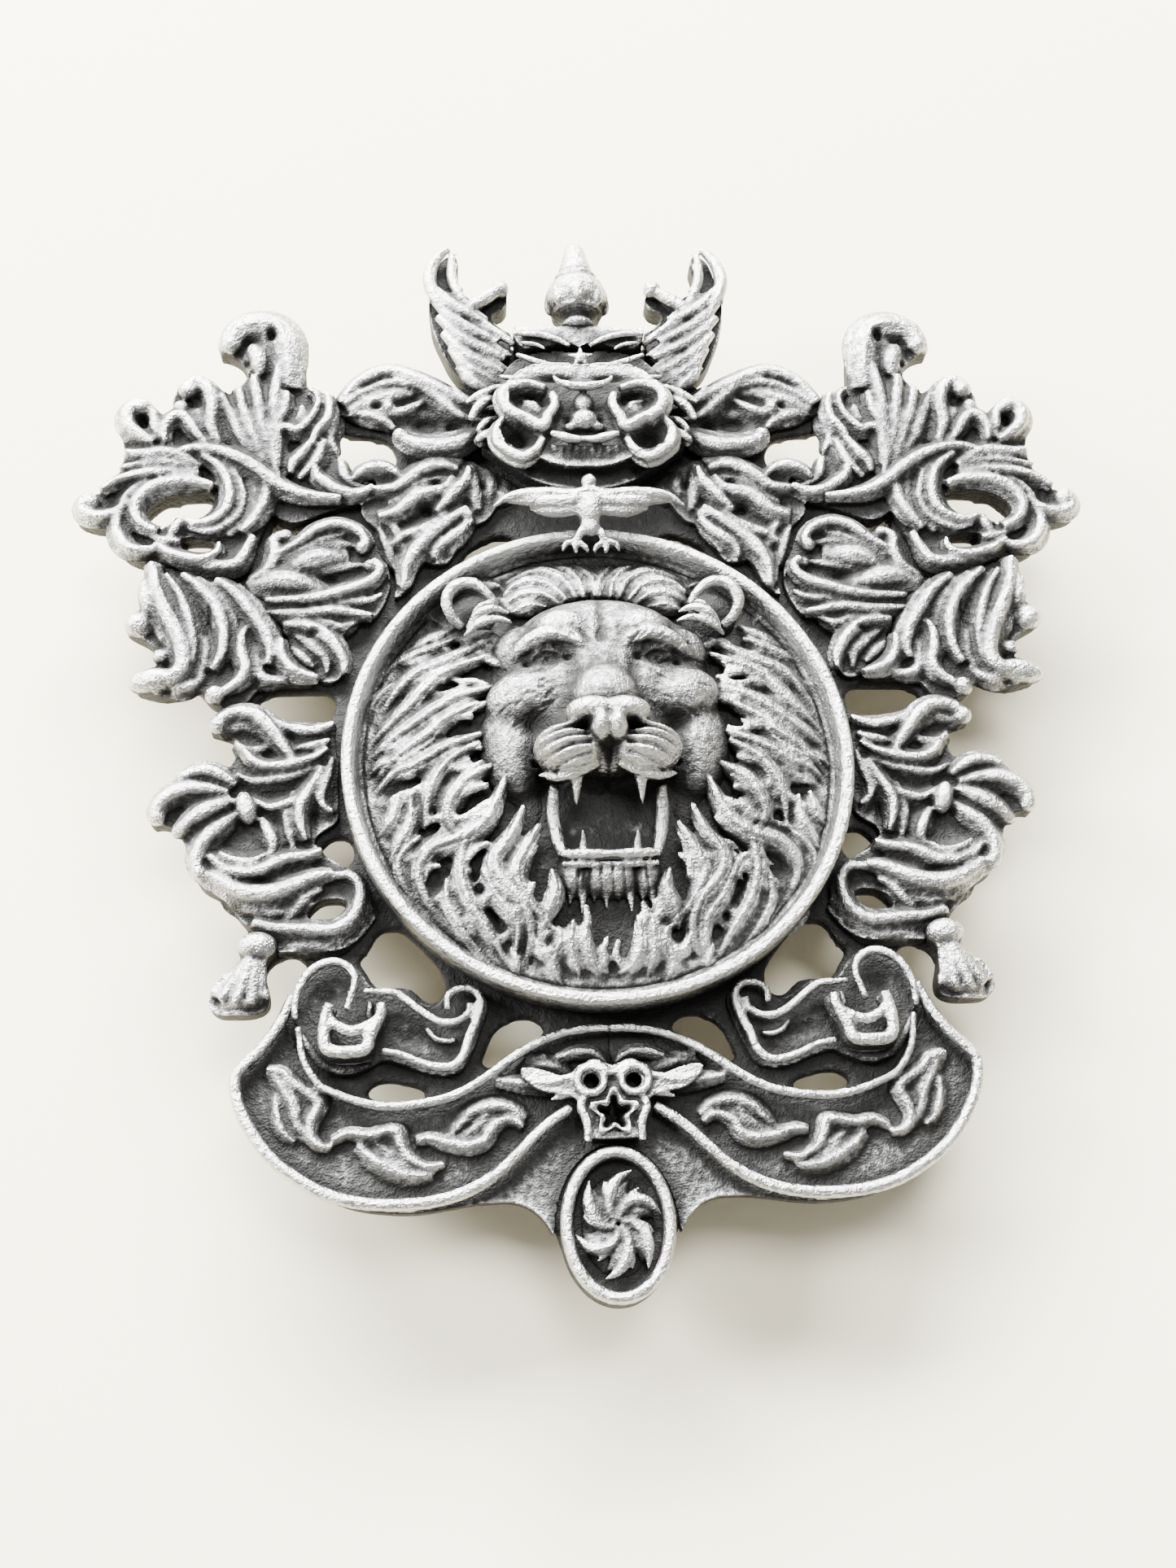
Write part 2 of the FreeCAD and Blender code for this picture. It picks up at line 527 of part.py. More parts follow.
def makeCrest():
    """The winged mask over the roundel, its collar and its finial."""
    mask = layered("crest_mask", [
        (wholeOutline(crestSeat), [], "Sizes.web_thickness", "Sizes.ornament_top"),
        (wholeOutline(crestMask), [], "Sizes.ornament_top", "Sizes.mask_shelf"),
        (wholeOutline(crestFace), [], "Sizes.mask_shelf", "Sizes.mask_top"),
    ])
    keep(mask)
    collar = layered("crest_collar", [
        (wholeOutline(crestCollar), [], "Sizes.web_thickness", "Sizes.collar_top"),
    ])
    keep(collar)
    finial = newBody("crest_finial")
    sketch = newSketch(finial, "Profile", "Sizes.finial_axis_height")
    drawLoop(sketch, finialProfile)
    addRevolution(finial, sketch, "V_Axis")
    keep(finial)
    for side in ("left", "right"):
        keep(layered(f"crest_wing_{side}", [
            (onSide(crestWing, side), [], "Sizes.web_thickness", "Sizes.wing_top"),
        ]))


def makeSides():
    """The soldered leaf castings of both halves."""
    flat = "Sizes.web_thickness"
    top = "Sizes.ornament_top"
    for side in ("left", "right"):
        eye, slit = (onSide([webOpenings[k]], side)[0] for k in (0, 1))
        loop = onSide([loopEye], side)[0]
        keep(layered(f"upper_scroll_{side}", [(onSide(upperScroll, side), [eye, slit], flat, top)]))
        keep(layered(f"crest_leaf_{side}", [(onSide(crestLeaf, side), [], flat, top)]))
        keep(layered(f"inner_leaf_{side}", [(onSide(innerLeaf, side), [], flat, top)]))
        keep(layered(f"palm_spray_{side}", [(onSide(palmSpray, side), [], flat, top)]))
        keep(layered(f"shell_leaf_{side}", [(onSide(shellLeaf, side), [], flat, top)]))
        tuft = keep(layered(f"tassel_{side}", [(onSide(tassel, side), [], flat, "Sizes.tassel_top")]))
        blank = layered(f"side_leaf_{side}_blank", [(onSide(sideLeaf, side), [loop], flat, top)])
        carve(f"side_leaf_{side}", blank, [tuft])
        keep(layered(f"strap_{side}", [(onSide(strap, side), [], flat, top)]))
        slot = onSide([buckleSlot], side)[0]
        keep(layered(f"buckle_{side}", [(onSide(buckle, side), [slot], top, "Sizes.buckle_top")]))
        keep(layered(f"banner_{side}", [(onSide(banner, side), [], flat, "Sizes.banner_top")]))


def makeEagle():
    """A small eagle whose body stands beside the rim and whose claws reach over it."""
    keep(layered("eagle", [
        (wholeOutline(eagleStem), [], "Sizes.web_thickness", "Sizes.eagle_seat"),
        (wholeOutline(eagleWings), [], "Sizes.eagle_seat", "Sizes.eagle_top"),
    ]))


def starPoints(centre, outer, inner):
    """A five-pointed star with one point up."""
    points = []
    for k in range(10):
        reach = outer if k % 2 == 0 else inner
        angle = math.radians(90 + 36 * k)
        points.append((centre[0] + reach * math.cos(angle), centre[1] + reach * math.sin(angle)))
    return [[points[0]], *[[point] for point in points[1:]]]


def drawPolygon(sketch, points):
    ends = points[1:] + points[:1]
    for a, b in zip(points, ends):
        sketch.addGeometry(Part.LineSegment(FreeCAD.Vector(*a, 0), FreeCAD.Vector(*b, 0)))


def makeClasp():
    """Two rings over a sunk star, closing the banner's middle."""
    rings = [(-1.5, -24), (1.5, -24)]
    body = newBody("star_clasp")
    sketch = newSketch(body, "Outline", "Sizes.banner_top")
    drawLoop(sketch, wholeOutline(claspOutline))
    for centre in rings:
        drawCircle(sketch, centre, "ring_hole_radius")
    addPad(body, sketch, "Sizes.clasp_top - Sizes.banner_top")
    star = newSketch(body, "Star", "Sizes.clasp_top - Sizes.star_depth")
    drawPolygon(star, [p for run in starPoints((0, -26.3), 1.4, 0.6) for p in run])
    addPocket(body, star, "Sizes.star_depth")
    keep(body)


def drawEllipse(sketch, centre, across, along):
    middle = FreeCAD.Vector(*centre, 0)
    major = middle + FreeCAD.Vector(0, along, 0)
    minor = middle + FreeCAD.Vector(-across, 0, 0)
    sketch.addGeometry(Part.Ellipse(major, minor, middle))


def makeMedallion():
    """An oval frame at the foot of the badge, with a whirl of leaf blades in it."""
    centre = (0, -33.9)
    body = newBody("medallion")
    sketch = newSketch(body, "Oval", "Sizes.web_thickness")
    drawEllipse(sketch, centre, 4, 5.4)
    addPad(body, sketch, "Sizes.medallion_top - Sizes.web_thickness")
    hollow = newSketch(body, "Hollow", "Sizes.medallion_floor")
    drawEllipse(hollow, centre, 3.1, 4.5)
    addPocket(body, hollow, "Sizes.medallion_top - Sizes.medallion_floor")
    keep(body)
    whirl = newBody("leaf_whirl")
    blade = newSketch(whirl, "Blade")
    drawLoop(blade, [[(0.2, 0), (1.1, 0.9), (2.1, 1), (2.8, 0.3)], [(2, 0.1), (1.2, 0.1), (0.4, -0.5)]])
    pad = addPad(whirl, blade, "Sizes.medallion_top - Sizes.medallion_floor - 0.2")
    pattern = whirl.newObject("PartDesign::PolarPattern", "Blades")
    pattern.Originals = [pad]
    pattern.Axis = (blade, ["N_Axis"])
    pattern.Angle = 360
    pattern.Occurrences = 6
    whirl.Tip = pattern
    whirl.Placement.Base = FreeCAD.Vector(*centre, 0)
    whirl.setExpression("Placement.Base.z", "Sizes.medallion_floor")
    document.recompute()
    keep(whirl)


def makePost(name, place):
    """A stepped screw post: a smooth shoulder in the cap's panel, then the thread."""
    body = newBody(f"post_{name}")
    rows = [
        (None, "web_thickness", 1), ("seat_radius", "web_thickness", 1),
        ("seat_radius", None, 1), ("shoulder_radius", None, 1),
        ("shoulder_radius", "shoulder_length", -1), ("thread_radius", "shoulder_length", -1),
        ("thread_radius", "post_end", -1), (None, "post_end", -1),
    ]
    points = [(sizes.get(r, 0), direction * sizes.get(z, 0)) for r, z, direction in rows]
    sketch = newSketch(body, "Profile", "0", "XZ_Plane")
    drawPolygon(sketch, points)
    for number, (radius, height, direction) in enumerate(rows):
        if radius:
            reach = sketch.addConstraint(
                Sketcher.Constraint("DistanceX", -1, 1, number, 1, sizes[radius]))
            sketch.setExpression(f"Constraints[{reach}]", f"Sizes.{radius}")
        if height:
            rise = sketch.addConstraint(
                Sketcher.Constraint("DistanceY", -1, 1, number, 1, direction * sizes[height]))
            sketch.setExpression(f"Constraints[{rise}]", f"{direction} * Sizes.{height}")
        sketch.addConstraint(Sketcher.Constraint("Coincident", number, 2, (number + 1) % len(rows), 1))
    turned = addRevolution(body, sketch, "V_Axis")
    low = -sizes["post_end"]
    tip = [
        f"Edge{k}"
        for k, edge in enumerate(turned.Shape.Edges, start=1)
        if all(abs(v.Z - low) < 1e-6 for v in edge.Vertexes)
    ]
    chamfer = body.newObject("PartDesign::Chamfer", "Tip")
    chamfer.Base = (turned, tip)
    chamfer.setExpression("Size", "Sizes.post_chamfer")
    body.Placement.Base = FreeCAD.Vector(place[0], place[1], 0)
    document.recompute()
    keep(body)


def makeWasher(name, place):
    """The disc that spreads the nut's pull over the cap's lining."""
    body = newBody(f"washer_{name}")
    sketch = newSketch(body, "Disc", "-Sizes.washer_face - Sizes.washer_thickness")
    drawCircle(sketch, (0, 0), "washer_radius")
    drawCircle(sketch, (0, 0), "fastener_bore")
    addPad(body, sketch, "Sizes.washer_thickness")
    body.Placement.Base = FreeCAD.Vector(place[0], place[1], 0)
    document.recompute()
    keep(body)


def makeNut(name, place):
    """A low thumb nut with a grooved edge."""
    body = newBody(f"nut_{name}")
    low = "-Sizes.nut_face - Sizes.nut_height"
    sketch = newSketch(body, "Disc", low)
    drawCircle(sketch, (0, 0), "nut_radius")
    drawCircle(sketch, (0, 0), "fastener_bore")
    addPad(body, sketch, "Sizes.nut_height")
    groove = newSketch(body, "Groove", low)
    drawCircle(groove, (sizes["nut_radius"] + 0.1, 0), "knurl_radius")
    pocket = addPocket(body, groove, "Sizes.nut_height - Sizes.nut_lip")
    pattern = body.newObject("PartDesign::PolarPattern", "Knurl")
    pattern.Originals = [pocket]
    pattern.Axis = (groove, ["N_Axis"])
    pattern.Angle = 360
    pattern.Occurrences = 20
    body.Tip = pattern
    body.Placement.Base = FreeCAD.Vector(place[0], place[1], 0)
    document.recompute()
    keep(body)


def checkAndWrite():
    """Nothing is written unless every object is sound."""
    document.recompute()
    for item in document.Objects:
        if "Invalid" in item.State or "Error" in item.State:
            raise RuntimeError(f"{item.Label} did not recompute")
    for piece in parts:
        shape = piece.Shape
        if shape.isNull() or not shape.isValid() or len(shape.Solids) != 1:
            raise RuntimeError(f"{piece.Label}: {len(shape.Solids)} solids, valid {shape.isValid()}")
    os.makedirs("parts", exist_ok=True)
    for piece in parts:
        piece.Shape.exportStep(f"parts/{piece.Label}.step")
        print(f"{piece.Label}: {piece.Shape.Volume:.1f} mm3")


makeSheet()
makeBackplate()
makeRoundel()
makeLion()
makeCrest()
makeSides()
makeEagle()
makeClasp()
makeMedallion()
for postName, postPlace in postPlaces().items():
    makePost(postName, postPlace)
    makeWasher(postName, postPlace)
    makeNut(postName, postPlace)
checkAndWrite()
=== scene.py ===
import math
import random

import bmesh
import bpy
import numpy as np
from mathutils import Matrix, Vector


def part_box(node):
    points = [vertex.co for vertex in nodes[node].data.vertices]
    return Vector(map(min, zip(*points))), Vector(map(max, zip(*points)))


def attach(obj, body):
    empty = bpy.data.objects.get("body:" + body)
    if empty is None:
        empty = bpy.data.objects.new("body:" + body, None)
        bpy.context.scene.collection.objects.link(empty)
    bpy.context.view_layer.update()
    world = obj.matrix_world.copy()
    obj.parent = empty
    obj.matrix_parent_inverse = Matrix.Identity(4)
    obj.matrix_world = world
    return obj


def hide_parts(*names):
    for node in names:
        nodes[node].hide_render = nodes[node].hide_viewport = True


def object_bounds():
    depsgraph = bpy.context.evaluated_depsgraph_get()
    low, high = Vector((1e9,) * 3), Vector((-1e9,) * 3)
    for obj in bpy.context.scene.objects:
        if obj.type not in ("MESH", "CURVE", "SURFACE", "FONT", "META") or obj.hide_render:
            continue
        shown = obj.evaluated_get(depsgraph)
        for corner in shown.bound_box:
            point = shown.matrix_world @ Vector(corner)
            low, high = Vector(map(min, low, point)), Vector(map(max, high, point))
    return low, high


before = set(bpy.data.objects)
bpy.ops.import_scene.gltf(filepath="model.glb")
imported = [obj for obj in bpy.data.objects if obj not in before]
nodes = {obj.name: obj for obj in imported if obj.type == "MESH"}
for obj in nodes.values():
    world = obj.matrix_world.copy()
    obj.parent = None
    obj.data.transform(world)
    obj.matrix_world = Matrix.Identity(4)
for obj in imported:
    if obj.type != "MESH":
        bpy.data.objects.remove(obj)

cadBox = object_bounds()
mm = 0.001
random.seed(7)

# modelling is in millimetres, moved to metres when a piece is finished
clay = {"voxel": 0.155, "smooth": 2, "field": 1.85, "crown": 3.05, "flesh": 1.22}


def meshOf(name, body):
    mesh = bpy.data.meshes.new(name)
    body.to_mesh(mesh)
    body.free()
    return mesh


def placeObject(name, data):
    thing = bpy.data.objects.new(name, data)
    bpy.context.scene.collection.objects.link(thing)
    return thing


def shapedMesh(holder):
    # the holder's mesh once its curve or modifiers have done their work
    return bpy.data.meshes.new_from_object(holder.evaluated_get(bpy.context.evaluated_depsgraph_get()))


def pourInto(body, mesh):
    body.from_mesh(mesh)
    bpy.data.meshes.remove(mesh)


def mirroredLumps(items, middle=0):
    # each lump or pit and its reflection
    return items + [(2 * middle - item[0], *item[1:]) for item in items]


def mirroredRibs(ribs, middle=0):
    return ribs + [(*rib[:3], [(2 * middle - p[0], *p[1:]) for p in rib[3]], *rib[4:]) for rib in ribs]


def smoothPath(points, perSpan=6):
    # a line through every point, rounded between them
    p = np.array([(*q, 0.0)[:3] if len(q) == 2 else q for q in points], float)
    padded = np.vstack([2 * p[0] - p[1], p, 2 * p[-1] - p[-2]])
    out = []
    for k in range(len(p) - 1):
        a, b, c, d = padded[k:k + 4]
        for t in np.linspace(0, 1, perSpan, endpoint=False):
            out.append(0.5 * (2 * b + (c - a) * t + (2 * a - 5 * b + 4 * c - d) * t * t
                              + (3 * b - a - 3 * c + d) * t ** 3))
    out.append(p[-1])
    return np.array(out)


def taperAlong(path, start, end):
    # 1 in the middle, easing down to start and end
    steps = np.linalg.norm(np.diff(path, axis=0), axis=1)
    t = np.concatenate([[0], np.cumsum(steps)]) / max(steps.sum(), 1e-9)
    rise = np.sin(np.pi / 2 * np.clip(t / 0.5, 0, 1))
    fall = np.sin(np.pi / 2 * np.clip((1 - t) / 0.5, 0, 1))
    return np.where(t < 0.5, start + (1 - start) * rise, end + (1 - end) * fall)


def strandMesh(strands):
    # each strand is (path, radii): all of them as one mesh of tapered, capped tubes
    data = bpy.data.curves.new("strands", "CURVE")
    data.dimensions = "3D"
    data.bevel_depth = 1.0
    data.bevel_resolution = 2
    data.use_fill_caps = True
    for path, radii in strands:
        line = data.splines.new("POLY")
        line.points.add(len(path) - 1)
        for point, place, radius in zip(line.points, path, radii):
            point.co = (*place, 1)
            point.radius = max(radius, 0.04)
    holder = placeObject("strands", data)
    mesh = shapedMesh(holder)
    bpy.data.objects.remove(holder)
    bpy.data.curves.remove(data)
    return mesh


def addStrands(body, ribs, crown):
    # a rib is (width, start, end, points) with an optional crown height after them
    strands = []
    for width, start, end, points, *rest in ribs:
        top = rest[0] if rest else crown
        path = smoothPath(points)
        if len(points[0]) == 2:
            path[:, 2] = top - width / 2
        strands.append((path, width / 2 * taperAlong(path, start, end)))
    if strands:
        pourInto(body, strandMesh(strands))


def addSkirts(body, ribs, crown, extra=1.15, drop=.5, squash=.42):
    # a broad low swelling under each rib, so leaves read as fleshy lobes
    strands = []
    for width, start, end, points, *rest in ribs:
        broad = width + extra
        top = (rest[0] if rest else crown) - drop
        path = smoothPath(points)
        path[:, 2] = top / squash - broad / 2
        strands.append((path, broad / 2 * taperAlong(path, .6, .45)))
    mesh = strandMesh(strands)
    mesh.transform(Matrix.Diagonal((1, 1, squash, 1)))
    pourInto(body, mesh)


def fusedSkin(holder, voxel, rounds):
    # one softened skin round all the lumps
    remesh = holder.modifiers.new("Remesh", "REMESH")
    remesh.mode = "VOXEL"
    remesh.voxel_size = voxel
    remesh.use_smooth_shade = True
    soften = holder.modifiers.new("Smooth", "SMOOTH")
    soften.factor = 0.5
    soften.iterations = rounds
    return shapedMesh(holder)


def fusedBody(body, voxel, rounds):
    # melts the lumps together so finer work can be laid on top
    mesh = meshOf("lumps", body)
    holder = placeObject("lumps", mesh)
    fused = fusedSkin(holder, voxel, rounds)
    melted = bmesh.new()
    pourInto(melted, fused)
    bpy.data.objects.remove(holder)
    bpy.data.meshes.remove(mesh)
    return melted


def addBlobs(body, blobs):
    # a blob is (x, y, z, radiusX, radiusY, radiusZ) with an optional turn about Z in degrees
    for x, y, z, rx, ry, rz, *turn in blobs:
        matrix = Matrix.Translation((x, y, z)) @ Matrix.Rotation(math.radians(turn[0] if turn else 0), 4,
            "Z")
        bmesh.ops.create_icosphere(body, subdivisions=3, radius=1.0,
                                   matrix=matrix @ Matrix.Diagonal((rx, ry, rz, 1)))


def addCones(body, cones):
    # a cone is (base point, tip point, base radius, tip radius)
    for base, tip, wide, narrow in cones:
        base, tip = Vector(base), Vector(tip)
        turn = (tip - base).to_track_quat("Z", "Y").to_matrix().to_4x4()
        place = Matrix.Translation((base + tip) / 2) @ turn
        bmesh.ops.create_cone(body, cap_ends=True, segments=10, radius1=wide, radius2=narrow,
                              depth=(tip - base).length, matrix=place)


def addNode(body, name, heights):
    # the frame's own outline, in millimetres, its flat levels moved to new heights
    copy = bmesh.new()
    copy.from_mesh(nodes[name].data)
    bmesh.ops.scale(copy, vec=(1000, 1000, 1000), verts=copy.verts)
    bmesh.ops.remove_doubles(copy, verts=copy.verts, dist=0.002)
    for v in copy.verts:
        for old, new in heights:
            if abs(v.co.z - old) < 0.06:
                v.co.z = new
                break
    pourInto(body, meshOf("copy", copy))


def nearLines(xy, points):
    # distance in plan from each vertex to a line of points
    path = smoothPath(points, 4)[:, :2]
    best = np.full(len(xy), 1e9)
    for a, b in zip(path[:-1], path[1:]):
        d = b - a
        t = np.clip(((xy - a) @ d) / max(d @ d, 1e-12), 0, 1)
        best = np.minimum(best, np.linalg.norm(xy - (a + t[:, None] * d), axis=1))
    return best


def cutGrooves(co, grooves, floor):
    # a groove is (width, depth, points); only what stands above the floor is pressed down
    for width, depth, points in grooves:
        pts = np.array([p[:2] for p in points], float)
        lo, hi = pts.min(0) - 2 * width, pts.max(0) + 2 * width
        near = np.all((co[:, :2] > lo) & (co[:, :2] < hi), axis=1) & (co[:, 2] > floor)
        if near.any():
            d = nearLines(co[near][:, :2], points)
            co[near, 2] -= depth * np.exp(-(d / (width / 2)) ** 2 * 1.4)


def pressPits(co, pits, floor):
    # a pit is (x, y, radiusX, radiusY, depth)
    for x, y, rx, ry, depth in pits:
        d = np.hypot((co[:, 0] - x) / rx, (co[:, 1] - y) / ry)
        press = (d < 2) & (co[:, 2] > floor)
        co[press, 2] -= depth * np.exp(-(d[press] ** 2) * 1.6)


def fireClay(name, body, replaced, voxel=None, smooth=None, grooves=(), pits=(), floor=0.5, mirror=False):
    # fuses the lumps into one skin, softens it and cuts the fine lines
    mesh = meshOf(name, body)
    piece = placeObject(name, mesh)
    fused = fusedSkin(piece, voxel or clay["voxel"], clay["smooth"] if smooth is None else smooth)
    piece.modifiers.clear()
    piece.data = fused
    bpy.data.meshes.remove(mesh)
    co = np.zeros(len(fused.vertices) * 3)
    fused.vertices.foreach_get("co", co)
    co = co.reshape(-1, 3)
    cutGrooves(co, grooves, floor)
    pressPits(co, pits, floor)
    co *= mm
    fused.vertices.foreach_set("co", co.ravel())
    fused.update()
    pieces = [finishPiece(piece, replaced)]
    if mirror:
        pieces.append(mirrorPiece(piece, replaced))
    print(f"{name}: {2 * len(fused.polygons)} triangles")
    return pieces


def finishPiece(piece, replaced):
    for face in piece.data.polygons:
        face.use_smooth = True
    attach(piece, "badge")
    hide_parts(*replaced)
    castings.append(piece)
    return piece


def mirrorPiece(piece, replaced):
    other = bmesh.new()
    other.from_mesh(piece.data)
    bmesh.ops.scale(other, vec=(-1, 1, 1), verts=other.verts)
    bmesh.ops.reverse_faces(other, faces=other.faces)
    mesh = meshOf(piece.name.replace("Left", "Right"), other)
    return finishPiece(placeObject(mesh.name, mesh), [n.replace("left", "right") for n in replaced])


castings = []

upperScroll = {
    "ribs": [
        (2.3, .5, .75, [(-23.5, 33.4), (-23.6, 36), (-23.9, 37.9), (-24.9, 39.1), (-26.3, 39.4),
                        (-27.6, 38.9), (-28.2, 37.9), (-28.2, 37.3)], 3.3),
        (1.1, .5, .6, [(-27.9, 37.2), (-27.6, 38.4), (-26.6, 38.9), (-25.6, 38.2), (-25.4, 36.8)], 2.7),
        (1.5, .6, .5, [(-26.5, 37.6), (-26, 36.2), (-25.8, 34.8)], 2.9),
        (.9, .6, .5, [(-25.6, 26.6), (-27, 28.6), (-28, 30.8), (-28.9, 32.9)], 2.9),
        (.9, .6, .5, [(-25.2, 26.4), (-26.2, 29), (-27.1, 31.5), (-27.5, 33.5)]),
        (1, .6, .5, [(-24.7, 26.2), (-25.4, 29), (-25.9, 32), (-26.3, 34.6)]),
        (1, .6, .6, [(-24.2, 26), (-24.4, 29), (-24.6, 32), (-24.3, 35.5)]),
        (.8, .6, .5, [(-23.6, 33), (-23.9, 31), (-24.9, 29), (-24.6, 27)]),
        (.6, .6, .5, [(-24.1, 25), (-24.6, 27), (-24.5, 28.8), (-23.7, 29.6), (-22.8, 29.3), (-21.8, 30.3),
                      (-21.2, 31.5), (-21.2, 32.6), (-21.9, 33.2)]),
        (.7, .5, .6, [(-20.4, 32.8), (-20.2, 31.5), (-20.4, 30.3), (-21.2, 29.2), (-21.6, 28)]),
        (.7, .5, .5, [(-22.4, 31.8), (-22.5, 30.6), (-23.2, 30)], 2.8),
        (.8, .5, .5, [(-21.6, 28.4), (-22.3, 27.2), (-23, 26.4), (-23.2, 25.4)]),
        (.8, .5, .5, [(-20.6, 28.6), (-21.3, 26.6), (-22.6, 25)], 2.8),
        (1, .5, .5, [(-32.3, 27.2), (-31, 27.6), (-29.3, 27.5), (-27.5, 26.8), (-25.8, 25.7), (-24.3, 24.4),
                     (-22.8, 23.6), (-21, 23.2), (-19.2, 23.1)], 3.3),
        (1.1, .6, .8, [(-29, 28.2), (-29.6, 30), (-29.5, 31.8), (-29.9, 33.2), (-30.8, 34), (-31.7, 33.5)]),
        (.7, .5, .5, [(-30.9, 32.4), (-30.6, 31), (-30, 29.4)], 2.7),
        (.8, .5, .6, [(-33.1, 28.3), (-33.2, 29.6), (-32.6, 30.6), (-31.8, 30.7), (-31.2, 30), (-30.6, 29),
                      (-29.9, 28.2)]),
        (1.1, .6, .8, [(-34, 28.3), (-35.2, 29.1), (-36.1, 30.2), (-36.1, 31.3), (-35.4, 31.9),
                       (-34.6, 31.6)]),
        (.8, .6, .6, [(-33.6, 28.6), (-34, 30), (-34.2, 31), (-34.4, 31.7)], 2.8),
        (1, .6, .5, [(-36.2, 27.4), (-35, 27.2), (-33, 27.3), (-31.5, 26.8), (-30.3, 26)]),
        (.6, .5, .5, [(-36.6, 26), (-35, 26.3), (-33, 26.4), (-31.4, 26.1), (-30.3, 25.4)], 2.9),
        (.7, .5, .5, [(-37.9, 24), (-36.7, 24.8), (-35.3, 25.3), (-33.6, 25.5), (-32, 25.5),
                      (-30.6, 25.3)]),
        (1, .5, .6, [(-33.4, 20.3), (-34.6, 20.9), (-35.2, 22), (-34.9, 23.2), (-33.8, 24.2), (-32, 24.7),
                     (-30.3, 24.6), (-29.2, 24.2)], 3.2),
        (.5, .5, .5, [(-36.4, 22.4), (-36, 23.4), (-35, 24.4), (-33.6, 24.9)], 2.8),
        (.8, .5, .5, [(-30.2, 27), (-28.8, 26), (-28.1, 24.6), (-27.9, 23.1), (-28.3, 21.9), (-29.3, 21.1),
                      (-30.5, 20.9), (-31.5, 21.3)], 3.2),
        (.6, .5, .5, [(-28.5, 26.6), (-27.4, 25.2), (-26.9, 23.5), (-27.1, 22), (-28, 20.9), (-29.5, 20.2),
                      (-31, 20.5)], 2.9),
        (.9, .5, .5, [(-26.6, 25.6), (-26, 24), (-26.1, 22.4), (-27, 21), (-28, 20)], 2.7),
        (.9, .6, .5, [(-25.1, 24.6), (-25.2, 23), (-25.9, 21.5), (-26.9, 20.2)]),
        (.8, .7, .6, [(-38.7, 23.7), (-39.3, 22.9), (-39.2, 22.1), (-38.5, 21.7), (-37.4, 21.7),
                      (-36.5, 22.1), (-35.7, 22.9)]),
        (.9, .6, .6, [(-36.3, 22), (-36.6, 21), (-36.3, 19.8), (-35.6, 18.9), (-34.6, 18.6),
                      (-33.5, 18.8)]),
        (.7, .5, .5, [(-33.6, 19.2), (-32.2, 18.3), (-30.6, 17.8), (-29.5, 17.9), (-28.7, 18.5),
                      (-28.6, 19.3)]),
        (.9, .5, .6, [(-31.6, 17.6), (-30, 17.4), (-28.4, 17.3), (-27.3, 17.5), (-26.7, 18.4),
                      (-26, 20)], 2.8),
        (.7, .5, .5, [(-33.9, 20), (-33, 19.6), (-31.6, 19.5)], 2.7),
        (.8, .5, .5, [(-32.6, 19.8), (-32, 20.8), (-31.9, 21.6)], 2.7),
        (.8, .5, .5, [(-19.9, 31.8), (-19.8, 30.4), (-20.2, 29), (-19.6, 27.6)], 2.4),
        (.7, .5, .5, [(-19.4, 27), (-19, 25.4), (-18, 24.4), (-17, 24.2)], 2.6),
    ],
    "balls": [(-38.8, 22.9, .85, 2.3), (-31.5, 33.2, .8, 2.3), (-35, 31.6, .75, 2.3), (-32, 31.7, .6, 2.2),
              (-28.2, 37.6, .8, 2.2)],
    "pits": [(-24.9, 38.3, .45, .6, 1), (-35, 30.4, .5, .7, .9), (-30.8, 32, .5, .6, .7),
             (-26.9, 35.9, .4, .4, .5)],
}

crestLeafBranch = {
    "ribs": [
        (1.1, .5, .5, [(-19.4, 32), (-18, 33.8), (-16.5, 34.7), (-15.3, 34.9), (-14, 34.5), (-12.5, 33.8),
                       (-11, 33), (-9.2, 31.8), (-8, 31.4), (-6.8, 31.4)]),
        (.8, .5, .5, [(-19, 31.8), (-18, 32.7), (-17, 33.2), (-15.8, 33.7), (-14.5, 33.8), (-13, 33.6),
                      (-12, 32.9), (-11, 31.9), (-10, 31), (-9, 30.4), (-7.5, 30.2)], 2.9),
        (1.3, .4, .4, [(-18.6, 31.4), (-17.3, 32), (-16, 32.4), (-14.6, 32.9), (-13.4, 33)], 2.9),
        (.8, .4, .4, [(-17.6, 31.2), (-16, 31.3), (-14.8, 31.2), (-13.8, 31.6), (-12.6, 32.4)], 2.6),
        (1.3, .5, .5, [(-14.7, 29.3), (-14.2, 28.5), (-13, 28), (-11.5, 27.8), (-10, 28.1), (-8.8, 28.8),
                       (-7.5, 29.7)], 3.2),
        (.7, .5, .5, [(-14.2, 29.6), (-13, 29), (-11.6, 28.9), (-10.2, 29.3), (-8.8, 30)], 2.4),
        (.9, .6, .6, [(-10.3, 33.3), (-9.8, 32.4), (-9, 31.8), (-8, 31.3)], 3.1),
        (.8, .5, .5, [(-18.9, 31.6), (-17.4, 31.1), (-15.9, 30.6), (-15.1, 29.8)], 2.5),
    ],
    "balls": [(-14.6, 28.9, .65, 2.4), (-15.6, 31.6, .6, 2.3)],
    "pits": [(-12.4, 30.3, 1.3, .7, 1.1), (-10.4, 30.1, .8, .4, .7), (-16.4, 31.7, .5, .25, .5)],
}

